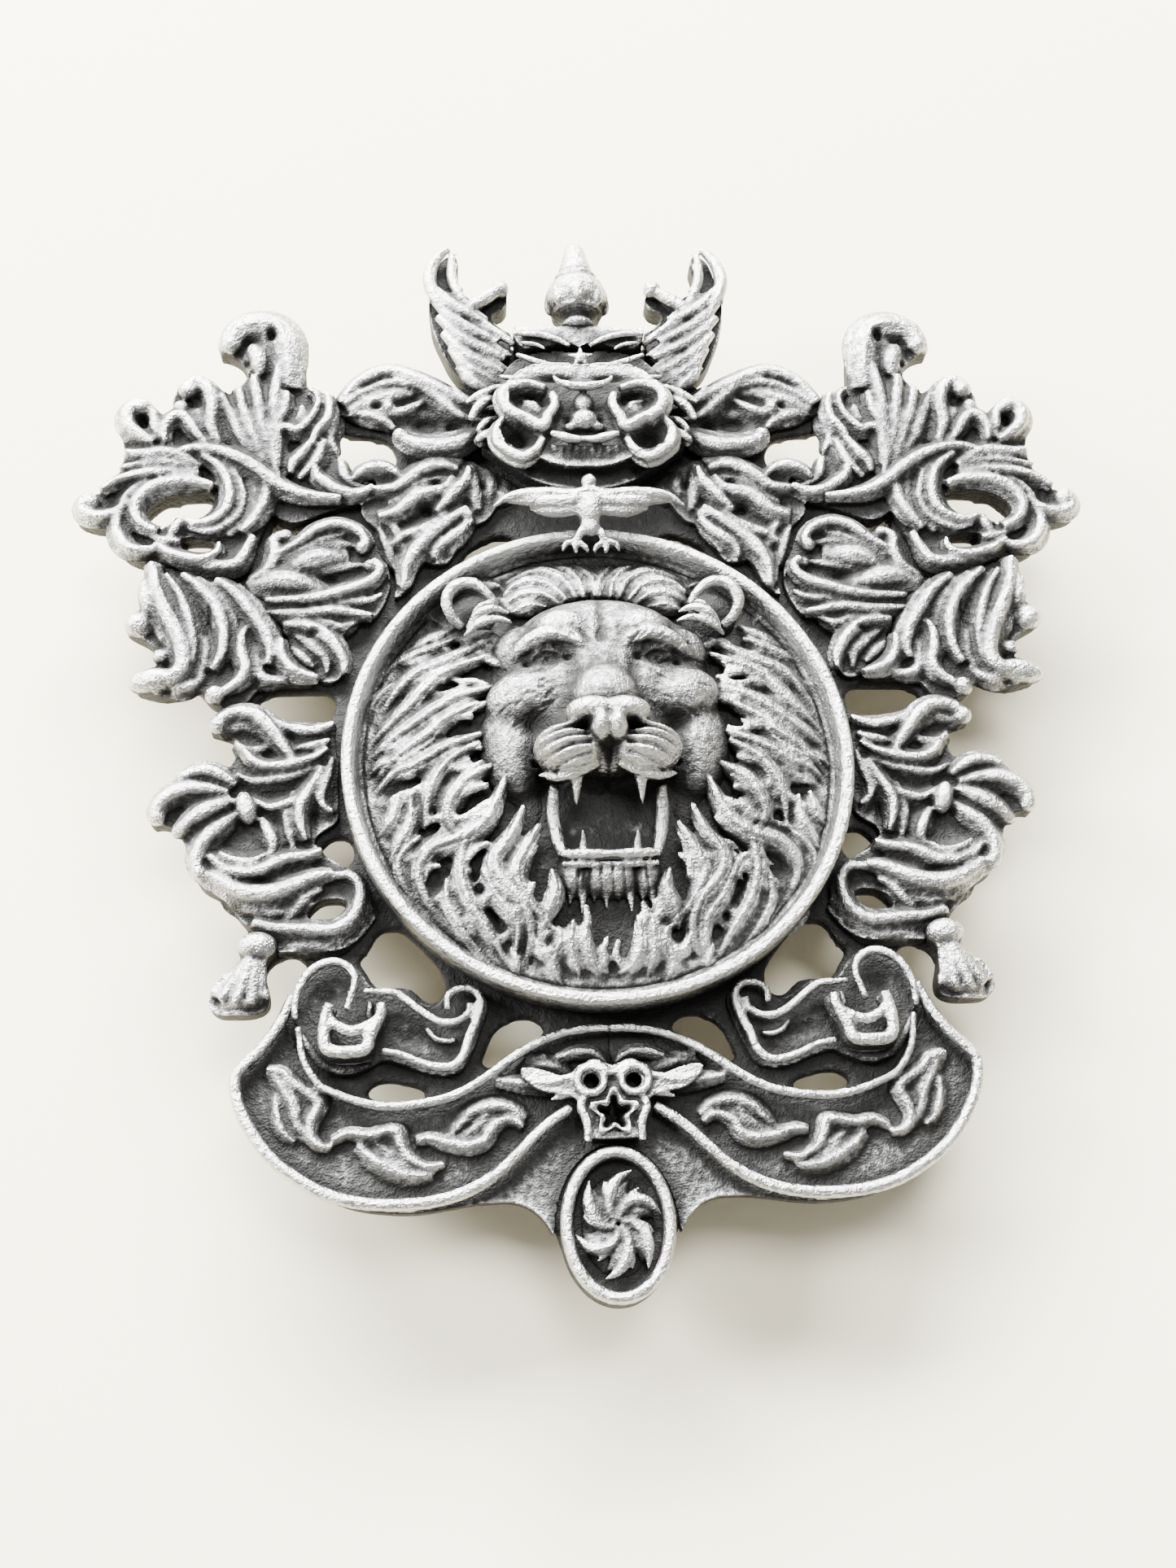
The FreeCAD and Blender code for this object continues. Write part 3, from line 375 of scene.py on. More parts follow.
innerLeafTuft = {
    "ribs": [
        (.9, .5, .5, [(-21.4, 26.4), (-21.2, 25.3), (-20.5, 24.6), (-19.6, 23.9), (-18.5, 23.6),
                      (-17.5, 23.8), (-16.7, 24.3)], 3),
        (.8, .4, .4, [(-18.4, 24.8), (-17.6, 25.6), (-16.5, 26), (-15.5, 25.8), (-14.6, 25.2)]),
        (1, .5, .4, [(-16.5, 24), (-15, 24.1), (-14, 24.8), (-13, 25.6), (-12, 26), (-11, 26.1),
                     (-10, 25.8)]),
        (1.1, .4, .4, [(-14.4, 25.4), (-12.9, 26.1), (-11.4, 26.7), (-9.6, 26.6)], 2.7),
        (1.1, .4, .4, [(-16.4, 21.6), (-15, 21.9), (-14, 22.7), (-13.2, 23.4), (-12, 23.7), (-11, 24.2),
                       (-10.4, 25.2)]),
        (.8, .4, .4, [(-15.6, 22.8), (-14.4, 23.3), (-13.2, 24.4), (-12, 24.8), (-11, 25.2)], 2.7),
        (.9, .4, .5, [(-11.8, 21.9), (-11, 22.8), (-10.2, 23.8), (-9.4, 24.8), (-9.1, 26)]),
        (1.1, .4, .5, [(-14.3, 15.7), (-14.2, 17), (-13.6, 18.3), (-12.6, 19.5), (-11.5, 20.6),
                       (-10.3, 21.5), (-9.3, 22.3)]),
        (.9, .4, .5, [(-15.2, 19.2), (-14.3, 19.9), (-13.2, 20.2), (-12, 20.9), (-10.9, 21.9)], 2.8),
        (.9, .4, .5, [(-12, 17.8), (-11.7, 18.8), (-10.9, 19.5), (-9.9, 20.3), (-9, 21.3)], 2.8),
        (1.2, .5, .5, [(-9, 26.4), (-8.9, 25), (-8.7, 23.6), (-8.5, 22.2)], 2.6),
        (1.1, .5, .5, [(-7.6, 25.9), (-7.4, 24.8), (-7.6, 23.4)], 2.4),
        (.9, .5, .5, [(-6.2, 25), (-6.3, 24.3), (-7, 23)], 2.2),
        (.7, .5, .5, [(-15.2, 17.2), (-15.6, 19), (-16.3, 20.8)], 2.3),
        (.7, .5, .5, [(-14.3, 18.4), (-14.9, 20.4), (-16, 21.6)], 2.4),
    ],
    "balls": [(-9.4, 21.7, .6, 2.1), (-14.3, 15.6, .45, 2.1)],
    "pits": [(-12.6, 22.3, .6, .4, .6), (-11.8, 24.6, .5, .3, .5), (-8.1, 24.4, .25, .5, .5)],
}

palmSprayFan = {
    "ribs": [
        (.9, .5, .6, [(-26.2, 16), (-24.8, 17), (-24.3, 18.4), (-24.4, 19.6), (-23.6, 20.2)], 2.8),
        (.8, .5, .7, [(-24, 18.3), (-22.4, 19.3), (-21, 20.4), (-19.5, 20.8), (-18, 20.3), (-17.3, 19.3),
                      (-17.6, 18.6)]),
        (.6, .5, .5, [(-23.8, 17.8), (-22, 18.7), (-20.4, 19.6), (-19, 20)], 2.7),
        (1.7, .15, .15, [(-23.6, 16.6), (-22, 17.5), (-20.5, 17.9), (-18.6, 18.1)], 3.2),
        (.7, .4, .5, [(-22.6, 17.8), (-21, 18.8), (-19.4, 19.2), (-18.2, 19.1)], 2.6),
        (1.7, .15, .15, [(-26.3, 15.2), (-24.5, 15.9), (-22.8, 15.8), (-20.3, 15)], 3.2),
        (.7, .4, .5, [(-23, 16.6), (-21, 16.9), (-19, 17.2), (-17.6, 17.5)], 2.5),
        (.8, .5, .7, [(-25, 14.2), (-22.5, 14.2), (-20.5, 14.5), (-18, 15.3), (-16.6, 16.1), (-16.2, 17),
                      (-16.8, 17.6)]),
        (.8, .4, .5, [(-25, 13.2), (-22, 13.1), (-20, 13.3), (-18.2, 13.1), (-16.8, 12.9)], 2.9),
        (.6, .4, .5, [(-21, 13.8), (-18.8, 14.1), (-17, 14.3), (-16, 14.9)], 2.6),
        (1, .4, .4, [(-23.6, 12.2), (-21.6, 12), (-20, 10.8), (-19, 9.2), (-18.9, 8)], 3),
        (.7, .4, .4, [(-22.6, 12.6), (-20.6, 12.4), (-19.2, 12), (-18, 12.5)], 2.6),
        (.8, .4, .4, [(-22.7, 11.4), (-21.6, 10.6), (-20.4, 9.4), (-20.2, 8.2)], 2.6),
        (.7, .4, .4, [(-23, 10.4), (-22, 9.4), (-21.2, 8.6)], 2.6),
    ],
    "balls": [(-17.6, 18.8, .55, 2.3), (-17, 17.3, .5, 2.2), (-23.5, 20, .5, 2.2)],
    "pits": [(-21.2, 11.4, .5, .3, .5), (-19.9, 16.3, .7, .25, .4)],
}

shellLeafFan = {
    "ribs": [
        (1.2, .5, .8, [(-33.7, 17.6), (-33.5, 16.4), (-33.2, 15), (-32.5, 13.3), (-31.6, 11.5), (-31.1, 10),
                       (-31.1, 8.6), (-31.9, 7.8), (-33, 7.9), (-33.8, 7.8)], 3.2),
        (.7, .5, .5, [(-32.6, 16.6), (-31.4, 14.6), (-30.7, 12.5), (-30.3, 10.5), (-30.3, 9)], 2.9),
        (.9, .5, .5, [(-31.4, 16.6), (-30, 15.4), (-28.8, 13.9), (-28.1, 12), (-28.1, 10), (-28.8, 8.4)]),
        (.6, .5, .5, [(-30.2, 16.4), (-28.7, 15), (-27.5, 13.2), (-27, 11.6)], 2.7),
        (1, .5, .5, [(-28.8, 16.1), (-27.3, 14.9), (-26, 13.2), (-25, 11.6), (-24.5, 10), (-24.7, 8.8)]),
        (.6, .5, .5, [(-27, 15.6), (-25.6, 14), (-24.4, 12), (-23.8, 10.6)], 2.7),
        (.8, .5, .7, [(-26.3, 12), (-26.7, 11), (-26.6, 9.5), (-26.3, 8.5), (-26.8, 7.4), (-28, 6.5)]),
        (.7, .5, .5, [(-23.7, 11), (-23.6, 9.5), (-22.9, 8.4), (-22, 7.9), (-20.8, 7.6)]),
        (.8, .5, .5, [(-32.3, 9), (-31.6, 7.2), (-30.2, 7.4), (-29.4, 8.2)], 2.5),
        (.8, .5, .5, [(-25.6, 10.4), (-25.5, 9), (-25, 7.8), (-23.4, 7.6)], 2.6),
        (.7, .5, .5, [(-29.4, 11.4), (-29.4, 9.4), (-29.9, 7.9)], 2.5),
        (.7, .5, .5, [(-33.2, 13.2), (-33, 12), (-32.4, 10.6)], 2.5),
    ],
    "balls": [(-34.6, 12.4, 1.05, 1.9), (-32.8, 9.7, .6, 2.1), (-28.6, 6.4, .8, 2.1),
              (-34.2, 11.9, .6, 1.9)],
    "blobs": [(-33.1, 7.7, 1.9, 2.1, 1.05, 1.15, 8), (-34.0, 14.6, 1.9, .7, 1.8, 1, 10)],
    "pits": [(-32.3, 8.9, .3, .3, .4), (-29.2, 12.8, .2, 1.2, .4)],
}

sideLeafScroll = {
    "ribs": [
        (1, .7, .5, [(-28.3, 3.8), (-27.9, 4.4), (-27, 4.8), (-25.8, 4.7), (-24.8, 4), (-24, 3),
                     (-23.2, 1.8), (-22.6, .9)], 3.1),
        (.8, .4, .5, [(-24, 4.2), (-23, 3.6), (-21.5, 3.3), (-20.3, 3.6), (-19.6, 4)], 2.8),
        (.7, .4, .4, [(-22.5, 1.9), (-21, 2.1), (-19.9, 2.6)], 2.8),
        (.7, .5, .4, [(-26.3, 1.8), (-25.6, .9), (-24.5, .4), (-23, .5), (-21.3, 1), (-20, 1.8)]),
        (.7, .5, .5, [(-27, 2.6), (-26.2, 1.9), (-25.2, 1.9), (-24.2, 2.3)], 2.5),
        (.6, .4, .4, [(-26.8, 0), (-26, -.5), (-25, -.7), (-23.5, -.5), (-22, -.1), (-20.6, .5)], 2.7),
        (.9, .6, .4, [(-30.8, -.2), (-29.8, .1), (-28.8, .1), (-27.8, -.3), (-26.8, -1)]),
        (1.1, .7, .4, [(-32.6, -3.5), (-32.5, -2.7), (-31.7, -1.8), (-30.5, -1.3), (-29, -1.3),
                       (-27.3, -1.6)], 3.1),
        (1.2, .6, .4, [(-30.8, -4.5), (-29.9, -3.7), (-28.6, -2.9), (-27, -2.2)], 3.2),
        (1.1, .7, .4, [(-29.4, -7.8), (-29.5, -6.7), (-29.1, -5.6), (-28.5, -4.8), (-27.5, -4),
                       (-26.7, -3.3)], 3.1),
        (.6, .4, .4, [(-25.6, -2), (-24.8, -2.6), (-24, -2.8), (-22.6, -2.3), (-21.6, -1.6)], 2.8),
        (.8, .5, .4, [(-25, -3.6), (-24.4, -4.6), (-24, -5.8), (-24.4, -6.6)], 2.8),
        (.8, .4, .4, [(-20.5, .4), (-21, -.8), (-21.6, -1.8), (-22.1, -3), (-22, -4.3), (-21.6, -5.4)]),
        (.7, .4, .4, [(-19.7, 1.2), (-20.1, -.4), (-20.6, -1.8), (-20.3, -2.8), (-19.6, -3.2)], 2.8),
        (.7, .4, .4, [(-22.6, -1.4), (-23, -3), (-22.9, -4.6), (-22.5, -6)], 2.6),
        (.6, .4, .4, [(-27.9, -6.2), (-26.8, -6.9), (-25.5, -7), (-24.6, -6.4)], 2.8),
        (.9, .5, .4, [(-28.6, -6.5), (-27.6, -7.5), (-26.3, -7.9), (-25, -7.8), (-24, -7.3), (-23, -6.9),
                      (-21.4, -6.6), (-20.4, -6.2)]),
        (1.3, .5, .4, [(-28.6, -7.9), (-27.1, -8.9), (-25.5, -9.5), (-24, -9.5), (-22.5, -9), (-21, -8.3),
                       (-19.6, -8)], 3.2),
        (.7, .5, .5, [(-26.6, -10), (-25.6, -10.6), (-24, -10.9), (-22.4, -10.5)], 2.5),
        (.9, .6, .6, [(-25.4, -11.6), (-23.8, -12.1), (-22.4, -12.2), (-21, -12.3), (-19.4, -12.3),
                      (-18.2, -11.4), (-17.7, -10.2), (-17.7, -9), (-18.4, -8.2), (-19.6, -8.2)], 2.9),
        (.8, .5, .5, [(-23.4, -13.4), (-21.4, -13.3), (-19.4, -13.2), (-17.8, -12.2)], 2.3),
        (.8, .5, .5, [(-23, -11.4), (-22.2, -10.6), (-21.4, -9.6), (-20.4, -9.1)], 2.6),
        (.9, .5, .5, [(-28.2, 3.4), (-27.2, 3.8), (-26, 3.8), (-25, 3)], 2.5),
        (.8, .5, .5, [(-25.8, -10.9), (-26.6, -9.9), (-27.8, -9)], 2.3),
    ],
    "balls": [(-28.3, 3.9, .7, 2.3), (-32.5, -3.4, .65, 2.2), (-30.9, -4.5, .55, 2.1),
              (-29.3, -7.8, .65, 2.2), (-30.8, -.3, .5, 2.2)],
    "blobs": [(-26, -2.9, 2.5, .75, 1.35, .9, 15)],
    "pits": [(-24.7, -8.5, 1, .25, .5), (-22.9, 2.9, .4, .3, .4), (-21.2, -3.6, .3, 1, .4)],
}

tasselTuft = {
    "ribs": [
        (1, .7, .7, [(-25, -14.6), (-25.2, -16), (-25.3, -17.7)], 3),
        (.9, .7, .7, [(-25.7, -14.5), (-26.5, -16), (-27.5, -17.4)], 2.9),
        (.9, .7, .7, [(-25.4, -14.5), (-25.9, -16.2), (-26.5, -17.8)], 3.1),
        (.8, .7, .7, [(-24.6, -14.6), (-24.6, -16), (-24.6, -17.3)], 2.7),
        (.7, .7, .7, [(-26.1, -14.6), (-27.1, -15.9), (-28, -17)], 2.5),
    ],
    "balls": [],
    "blobs": [(-25, -13.4, 2.3, 1.45, 1.05, 1), (-25.9, -17.4, 1.7, 1.9, .8, .9, 12)],
    "pits": [],
}

strapBand = {
    "ribs": [
        (.75, .7, .7, [(-22.2, -19), (-22.2, -17.6), (-21.7, -16.2), (-20.8, -15.2), (-19.6, -14.8),
                       (-18.5, -15.2), (-18, -16.2), (-18.3, -17.4), (-18.6, -18.4)]),
        (.7, .7, .7, [(-17.4, -17), (-16.4, -17.1), (-15.2, -17.2), (-14.2, -17.9), (-13.1, -18.8),
                      (-12, -19.4), (-10.9, -19.4), (-10, -18.8), (-9.9, -18)]),
        (.75, .7, .7, [(-11.5, -18.5), (-11.4, -17.5), (-10.6, -17), (-9.6, -17.1), (-9.1, -17.9),
                       (-9.4, -19.2), (-10, -20.6), (-10.4, -21.8), (-11.2, -22.6), (-12.4, -22.6),
                       (-13.6, -22.2), (-15, -21.6), (-16.2, -21.4)]),
        (.5, .7, .7, [(-13, -19.7), (-12.4, -20.4), (-11.6, -20.7), (-10.9, -20.6)], 2.5),
        (.7, .6, .6, [(-22, -19.6), (-21.2, -21), (-20.2, -22.2), (-18.6, -22.5), (-17, -22.2)], 2.5),
        (.5, .7, .7, [(-16.9, -17.6), (-17, -18.8), (-16.6, -19.6)], 2.5),
    ],
    "balls": [],
    "blobs": [],
    "pits": [(-20, -16.9, 1, 1, .35), (-14, -20.2, 1.5, .8, .3)],
    "field": 1.75,
}

buckleFrame = {
    "ribs": [
        (1, .8, .8, [(-19.7, -18.2), (-20, -19.2), (-20.1, -20.6), (-19.8, -21.5), (-18.5, -21.7),
                     (-17.2, -21.5), (-16.9, -20.6), (-16.5, -19.8), (-16.1, -18.9), (-16.1, -18.2)], 4.3),
        (.9, .8, .8, [(-19.8, -19.2), (-19.2, -19.8), (-18.3, -20.2), (-17.4, -20), (-16.6, -19.5)], 4.2),
    ],
}

castLeaves = [
    ("upperScrollLeft", "upper_scroll_left", upperScroll),
    ("crestLeafLeft", "crest_leaf_left", crestLeafBranch),
    ("innerLeafLeft", "inner_leaf_left", innerLeafTuft),
    ("palmSprayLeft", "palm_spray_left", palmSprayFan),
    ("shellLeafLeft", "shell_leaf_left", shellLeafFan),
    ("sideLeafLeft", "side_leaf_left", sideLeafScroll),
    ("tasselLeft", "tassel_left", tasselTuft),
    ("strapLeft", "strap_left", strapBand),
]

for name, node, leaf in castLeaves:
    body = bmesh.new()
    field = leaf.get("field", clay["field"])
    addNode(body, node, [(1.2, .35), (2.5, field), (2.8, field)])
    ribs = leaf["ribs"]
    if leaf not in (strapBand, tasselTuft):
        ribs = [(width * clay["flesh"], *rest) for width, *rest in ribs]
        addSkirts(body, ribs, clay["crown"], 1.0)
    addStrands(body, ribs, clay["crown"])
    addBlobs(body, [(x, y, z, r, r, r) for x, y, r, z in leaf["balls"]])
    addBlobs(body, leaf.get("blobs", []))
    fireClay(name, body, [node], pits=leaf["pits"], mirror=True)

body = bmesh.new()
addStrands(body, buckleFrame["ribs"], 4.2)
addStrands(body, [(1.1, 1, 1, [(x, y, 2.6) for x, y in buckleFrame["ribs"][0][3]])], 3.2)
fireClay("buckleLeft", body, ["buckle_left"], mirror=True)
print("leaf castings done")

midline = 0.4


def maneHeight(x, y):
    # the mane falls from the cheeks to the dish by the rim
    r = np.hypot(x, y)
    return np.interp(r, [6, 9, 13, 16, 17.6], [6.4, 6.1, 5.2, 4.3, 3.5])


lionFace = {
    "lumps": [
        (midline, 5.0, 2.6, 8.9, 8.7, 5.2), (midline, 9.3, 4.6, 6.4, 3.4, 2.7),
        (midline, 5.8, 5.9, 2.3, 4.4, 1.9), (midline, 3.3, 7.0, 2.7, 3.0, 2.1),
        (midline, 0.4, 6.4, 4.6, 2.8, 2.6),
    ],
    "pairs": [
        (-2.3, 9.7, 5.8, 2.5, 1.7, 1.8), (-5.4, 8.3, 4.3, 2.4, 2.4, 2.0),
        (-5.0, 4.3, 5.0, 3.5, 2.5, 2.5, 12), (-6.2, 0.8, 3.7, 2.9, 4.6, 2.9),
        (-5.3, -3.9, 2.5, 2.1, 3.7, 2.2), (-4.3, -7.2, 2.2, 1.6, 3.0, 1.7),
    ],
    "sockets": [(-3.7, 7.1, 1.8, .85, .85), (-4.9, 2.0, 1.2, 1.3, .5), (-1.9, 5.9, .7, 1.6, .35)],
    "muzzle": [
        (-2.4, -.7, 7.6, 2.65, 1.95, 2.4), (-.75, 1.6, 9.2, 1.95, 1.05, 1.5), (-.2, .4, 9.4, .85, 1.2, 1.5),
        (-1.95, .9, 8.7, .75, .8, 1.0), (-3.7, 7.15, 5.85, 1.05, .62, .8),
    ],
    "ribs": [
        (1.6, .3, .5, [(-6.9, 7.0, 5.1), (-5.4, 8.2, 6.2), (-3.6, 8.9, 6.9), (-1.8, 8.5, 7.1),
                       (-.9, 7.6, 7.0)]),
        (.5, .4, .4, [(-5.1, 6.9, 6.1), (-4.3, 7.7, 6.6), (-3.3, 7.75, 6.75), (-2.3, 7.0, 6.7)]),
        (.5, .4, .4, [(-5.0, 6.8, 6.1), (-4.1, 6.4, 6.45), (-3.2, 6.4, 6.6), (-2.3, 6.8, 6.7)]),
        (.8, .4, .5, [(-4.6, -2.3, 6.8), (-3.4, -2.75, 7.4), (-1.9, -2.6, 7.8), (-.3, -2.0, 8.0)]),
        (1.1, .7, .7, [(-3.5, -2.9, 6.2), (-3.6, -4.6, 5.3), (-3.4, -6.4, 5.1), (-3.0, -8.0, 5.4)]),
    ],
    "fangs": [((-1.9, -2.2, 7.4), (-2.0, -4.7, 6.7), .6, .08)],
    "grooves": [(.4, .5, [(-4.8, -.35, 0), (-3, .25, 0), (-1.5, .45, 0)]),
                (.4, .55, [(-4.9, -1.15, 0), (-3, -.5, 0), (-1.1, -.2, 0)]),
                (.4, .5, [(-4.5, -1.95, 0), (-2.8, -1.25, 0), (-1.0, -.85, 0)]),
                (.36, .4, [(-3.4, -2.4, 0), (-2.2, -1.95, 0), (-1.0, -1.55, 0)]),
                (.3, .3, [(-4.0, .6, 0), (-3.0, .95, 0), (-2.4, .95, 0)])],
    "clefts": [(.45, .6, [(midline, -.9, 0), (midline, -2.9, 0)]),
               (.9, .3, [(midline, 12, 0), (midline, 9.8, 0), (midline, 8.4, 0)])],
    "nostrils": [(-1.3, .55, .5, .42, 1.6), (-1.9, .35, .3, .25, .8)],
    "eyeCorners": [(-2.2, 7.0, .35, .28, .5), (-5.2, 6.8, .35, .28, .5), (-3.7, 7.05, .22, .22, .3)],
}

body = bmesh.new()
addBlobs(body, lionFace["lumps"] + mirroredLumps(lionFace["pairs"], midline))
body = fusedBody(body, .2, 12)
shape = np.array([v.co for v in body.verts])
pressPits(shape, mirroredLumps(lionFace["sockets"], midline), 3)
for v, place in zip(body.verts, shape):
    v.co = place
addBlobs(body, mirroredLumps(lionFace["muzzle"], midline))
addStrands(body, mirroredRibs(lionFace["ribs"], midline), 6)
addCones(body, lionFace["fangs"] + [((2 * midline - base[0], *base[1:]),
                                     (2 * midline - tip[0], *tip[1:]), a, b)
                                    for base, tip, a, b in lionFace["fangs"]])
whiskerLines = lionFace["grooves"] + [(w, d, [(2 * midline - x, y, z) for x, y, z in p])
                                      for w, d, p in lionFace["grooves"]]
furLines = []
for k in range(150):
    angle = random.uniform(0, 2 * math.pi)
    reach = random.uniform(3.5, 8.2)
    x, y = midline + reach * math.cos(angle), 4.6 + reach * math.sin(angle)
    if abs(x - midline) < 5.6 and y < 2.6 or y > 10.5:
        continue
    lean = math.atan2(y - 6.5, x - midline) + random.uniform(-.3, .3)
    length = random.uniform(.5, 1.1)
    tip = (x + length * math.cos(lean), y + length * math.sin(lean))
    furLines.append((.2, random.uniform(.06, .16), [(x, y), tip]))
fireClay("lionHead", body, ["lion_head"], voxel=.14, smooth=2, floor=3,
         grooves=whiskerLines + lionFace["clefts"] + furLines,
         pits=mirroredLumps(lionFace["nostrils"] + lionFace["eyeCorners"], midline))

body = bmesh.new()
addBlobs(body, [(midline, -9.3, 3.4, 3.0, 1.9, 2.5), (midline, -5.9, 2.9, 1.7, 2.4, 1.1)])
addBlobs(body, mirroredLumps([(-2.2, -9.2, 3.6, 1.3, 1.9, 2.0)], midline))
gumRibs = [
    (.75, .8, .8, [(-3.2, -8.0, 5.7), (-1.6, -8.15, 6.05), (midline, -8.2, 6.1)]),
    (.5, .8, .8, [(-3.1, -8.7, 5.5), (-1.6, -8.9, 5.8), (midline, -8.9, 5.85)]),
]
addStrands(body, mirroredRibs(gumRibs, midline), 6)
addCones(body, [((midline + dx, -9.4, 4.6), (midline + dx * 1.12, -9.9 - reach, 4.4), .62, .08)
                for dx, reach in ((-2.7, 1.6), (-1.9, 2.3), (-1.1, 1.4), (-.3, 1.9), (.5, 1.3), (1.3, 2.2),
                                  (2.1, 1.5), (2.8, 2.2))])
addCones(body, [((midline + dx, -8.1, 5.4), (midline + dx * 1.05, -6.5, 6.6), .45, .08)
                for dx in (-1.9, 1.9)])
fireClay("lionJaw", body, ["lion_jaw"], voxel=.12, smooth=2, floor=3,
         grooves=[(.25, .2, [(midline + dx, -9, 0), (midline + dx * 1.1, -11, 0)])
                  for dx in (-2.3, -1.5, -.7, .1, .9, 1.7, 2.5)])

body = bmesh.new()
addStrands(body, [(1.0, .7, .6, [(-9.9, 10.6, 4.6), (-10.8, 11.4, 5.2), (-11.1, 12.6, 5.5),
                                 (-10.4, 13.7, 5.6), (-9.1, 13.9, 5.6), (-8.0, 13.1, 5.5),
                                 (-7.4, 12.2, 5.2)]),
                  (.8, .4, .3, [(-9.6, 10.2, 5.2), (-8.8, 11.1, 5.9), (-7.6, 11.6, 5.9),
                                (-6.4, 11.3, 5.7)]),
                  (.7, .4, .3, [(-9.9, 9.6, 5.2), (-8.8, 10.3, 5.8), (-7.4, 10.7, 6.0), (-6.2, 10.4, 6.0)]),
                  (.5, .4, .3, [(-9.2, 11.6, 5.0), (-8.4, 12.2, 5.4), (-7.6, 12.3, 5.4)])], 6)
addBlobs(body, [(-9.2, 12.0, 3.2, 2.0, 2.1, 1.0)])
fireClay("lionEarLeft", body, ["lion_ear_left"], voxel=.12, smooth=1, mirror=True)

maneLocks = [
    (1.3, [(-8, 9.6), (-10.8, 8.1), (-13.2, 7.2), (-14.7, 6.1), (-16, 4.4)]),
    (1.2, [(-7.9, 8.2), (-11.2, 7), (-12.6, 5.9), (-14, 4.3), (-15.8, 2.8), (-17, 1.6)]),
    (1.4, [(-7.6, 5.4), (-10, 4.9), (-12.1, 3.8), (-13.7, 2.8), (-15.5, 1.7), (-17.2, .2)]),
    (1.2, [(-8.9, 4.2), (-11.3, 3), (-12.6, 1.8), (-14.6, .6), (-16.4, -1.1)]),
    (1.3, [(-8.6, 1.6), (-11.3, .7), (-13.3, -.4), (-15.1, -.9), (-16.6, -2.3)]),
    (1.3, [(-8.8, .9), (-10.8, -.2), (-12.1, -1.7), (-12.7, -3.4), (-12.9, -5.4)]),
    (1.4, [(-7.8, -.9), (-9.8, -2), (-11, -3.6), (-11.2, -5), (-10.5, -6)]),
    (1.5, [(-6.8, -1.4), (-7.4, -3), (-8.3, -4.9), (-9.8, -6.1), (-12.4, -6.9), (-13.4, -8.6),
           (-12.8, -10.6), (-11.4, -12.8)]),
    (1.2, [(-9.9, -6.3), (-10.4, -8.4), (-9.8, -11), (-8.3, -13.4), (-7, -15.6)]),
    (1.4, [(-5.7, -4.2), (-6.6, -6.2), (-7.9, -8.2), (-7.2, -9.9), (-6, -11.2), (-5.4, -13.2),
           (-5.8, -15.4)]),
    (1.2, [(-4.6, -5.6), (-5.6, -7.4), (-6.4, -9.2), (-5.7, -11), (-4.5, -12.6)]),
    (.9, [(-3.9, -9), (-3.6, -10.6), (-4.3, -12.4), (-3.8, -13.2)]),
    (.9, [(-8.9, -8.6), (-7.8, -10.8), (-6.4, -12.8), (-6.6, -14.8)]),
    (1.0, [(-13.2, -5.9), (-14.8, -7.4), (-14.5, -9.4), (-13.2, -11.4)]),
    (1.0, [(-11.4, -9.2), (-11.3, -11.2), (-10.1, -13.3), (-8.6, -15.2)]),
    (.8, [(-3.6, -14.6), (-3.9, -15.8), (-3.2, -17.2)]),
    (.7, [(-5.3, -13.4), (-4.9, -14.6), (-4.1, -14.9), (-3.4, -14.3), (-3.5, -13.4), (-4.3, -13)]),
    (.8, [(-1.4, -12.6), (-1.6, -14.4), (-.9, -15.9), (.2, -16.4)]),
    (.8, [(-2.4, -12.6), (-2.6, -14.6), (-2, -16.6)]),
    (.8, [(-6.9, -14.4), (-6.4, -15.6), (-6.5, -16.4)]),
    (1.0, [(-10, -14), (-9.2, -14.9), (-7.8, -15.8)]),
    (1.0, [(-10.3, 11), (-12.3, 9.9), (-14.4, 9.3)]),
    (.9, [(-10.6, 9.8), (-13, 8.9), (-15.2, 8.1), (-16.4, 6.9)]),
    (.9, [(-14.8, -2.6), (-15.3, -4.6), (-16.4, -5.6)]),
    (.9, [(-13.9, -3), (-14, -5), (-15.3, -7.2), (-15.7, -8.2)]),
    (.8, [(-12.2, 1.4), (-14, .2), (-16, -.1), (-17.2, -1)]),
    (1.1, [(-2.4, 12.4), (-3.6, 13.4), (-4.8, 13.6), (-6.1, 13.2), (-6.9, 12.4)]),
    (1.1, [(-1.9, 12.8), (-2.9, 14.1), (-4.2, 14.8), (-5.6, 14.7), (-6.8, 13.8)]),
    (1.1, [(-1.2, 13), (-1.9, 14.6), (-3.2, 15.6), (-4.8, 15.8), (-6.4, 15.2)]),
    (1.0, [(-.6, 13.1), (-.9, 14.6), (-1.7, 15.8), (-2.9, 16.6)]),
    (1.0, [(.2, 13.1), (.3, 14.4), (-.3, 15.5), (-1.2, 16.6)]),
    (.9, [(-6.9, 14.6), (-8.2, 15), (-9.6, 14.6)]),
    (.9, [(-3.4, 12.2), (-4.8, 12.4), (-6.3, 11.9)]),
    (.8, [(-11.8, 11.6), (-12.4, 12.4), (-11.6, 13.6)]),
    (.9, [(-15.2, 6.6), (-16.6, 5.2), (-17.2, 3.4)]),
    (.9, [(-14.6, -9.6), (-13.2, -12.2), (-11.4, -14)]),
]
body = bmesh.new()
strands = []
skirts = []
lockLines = []
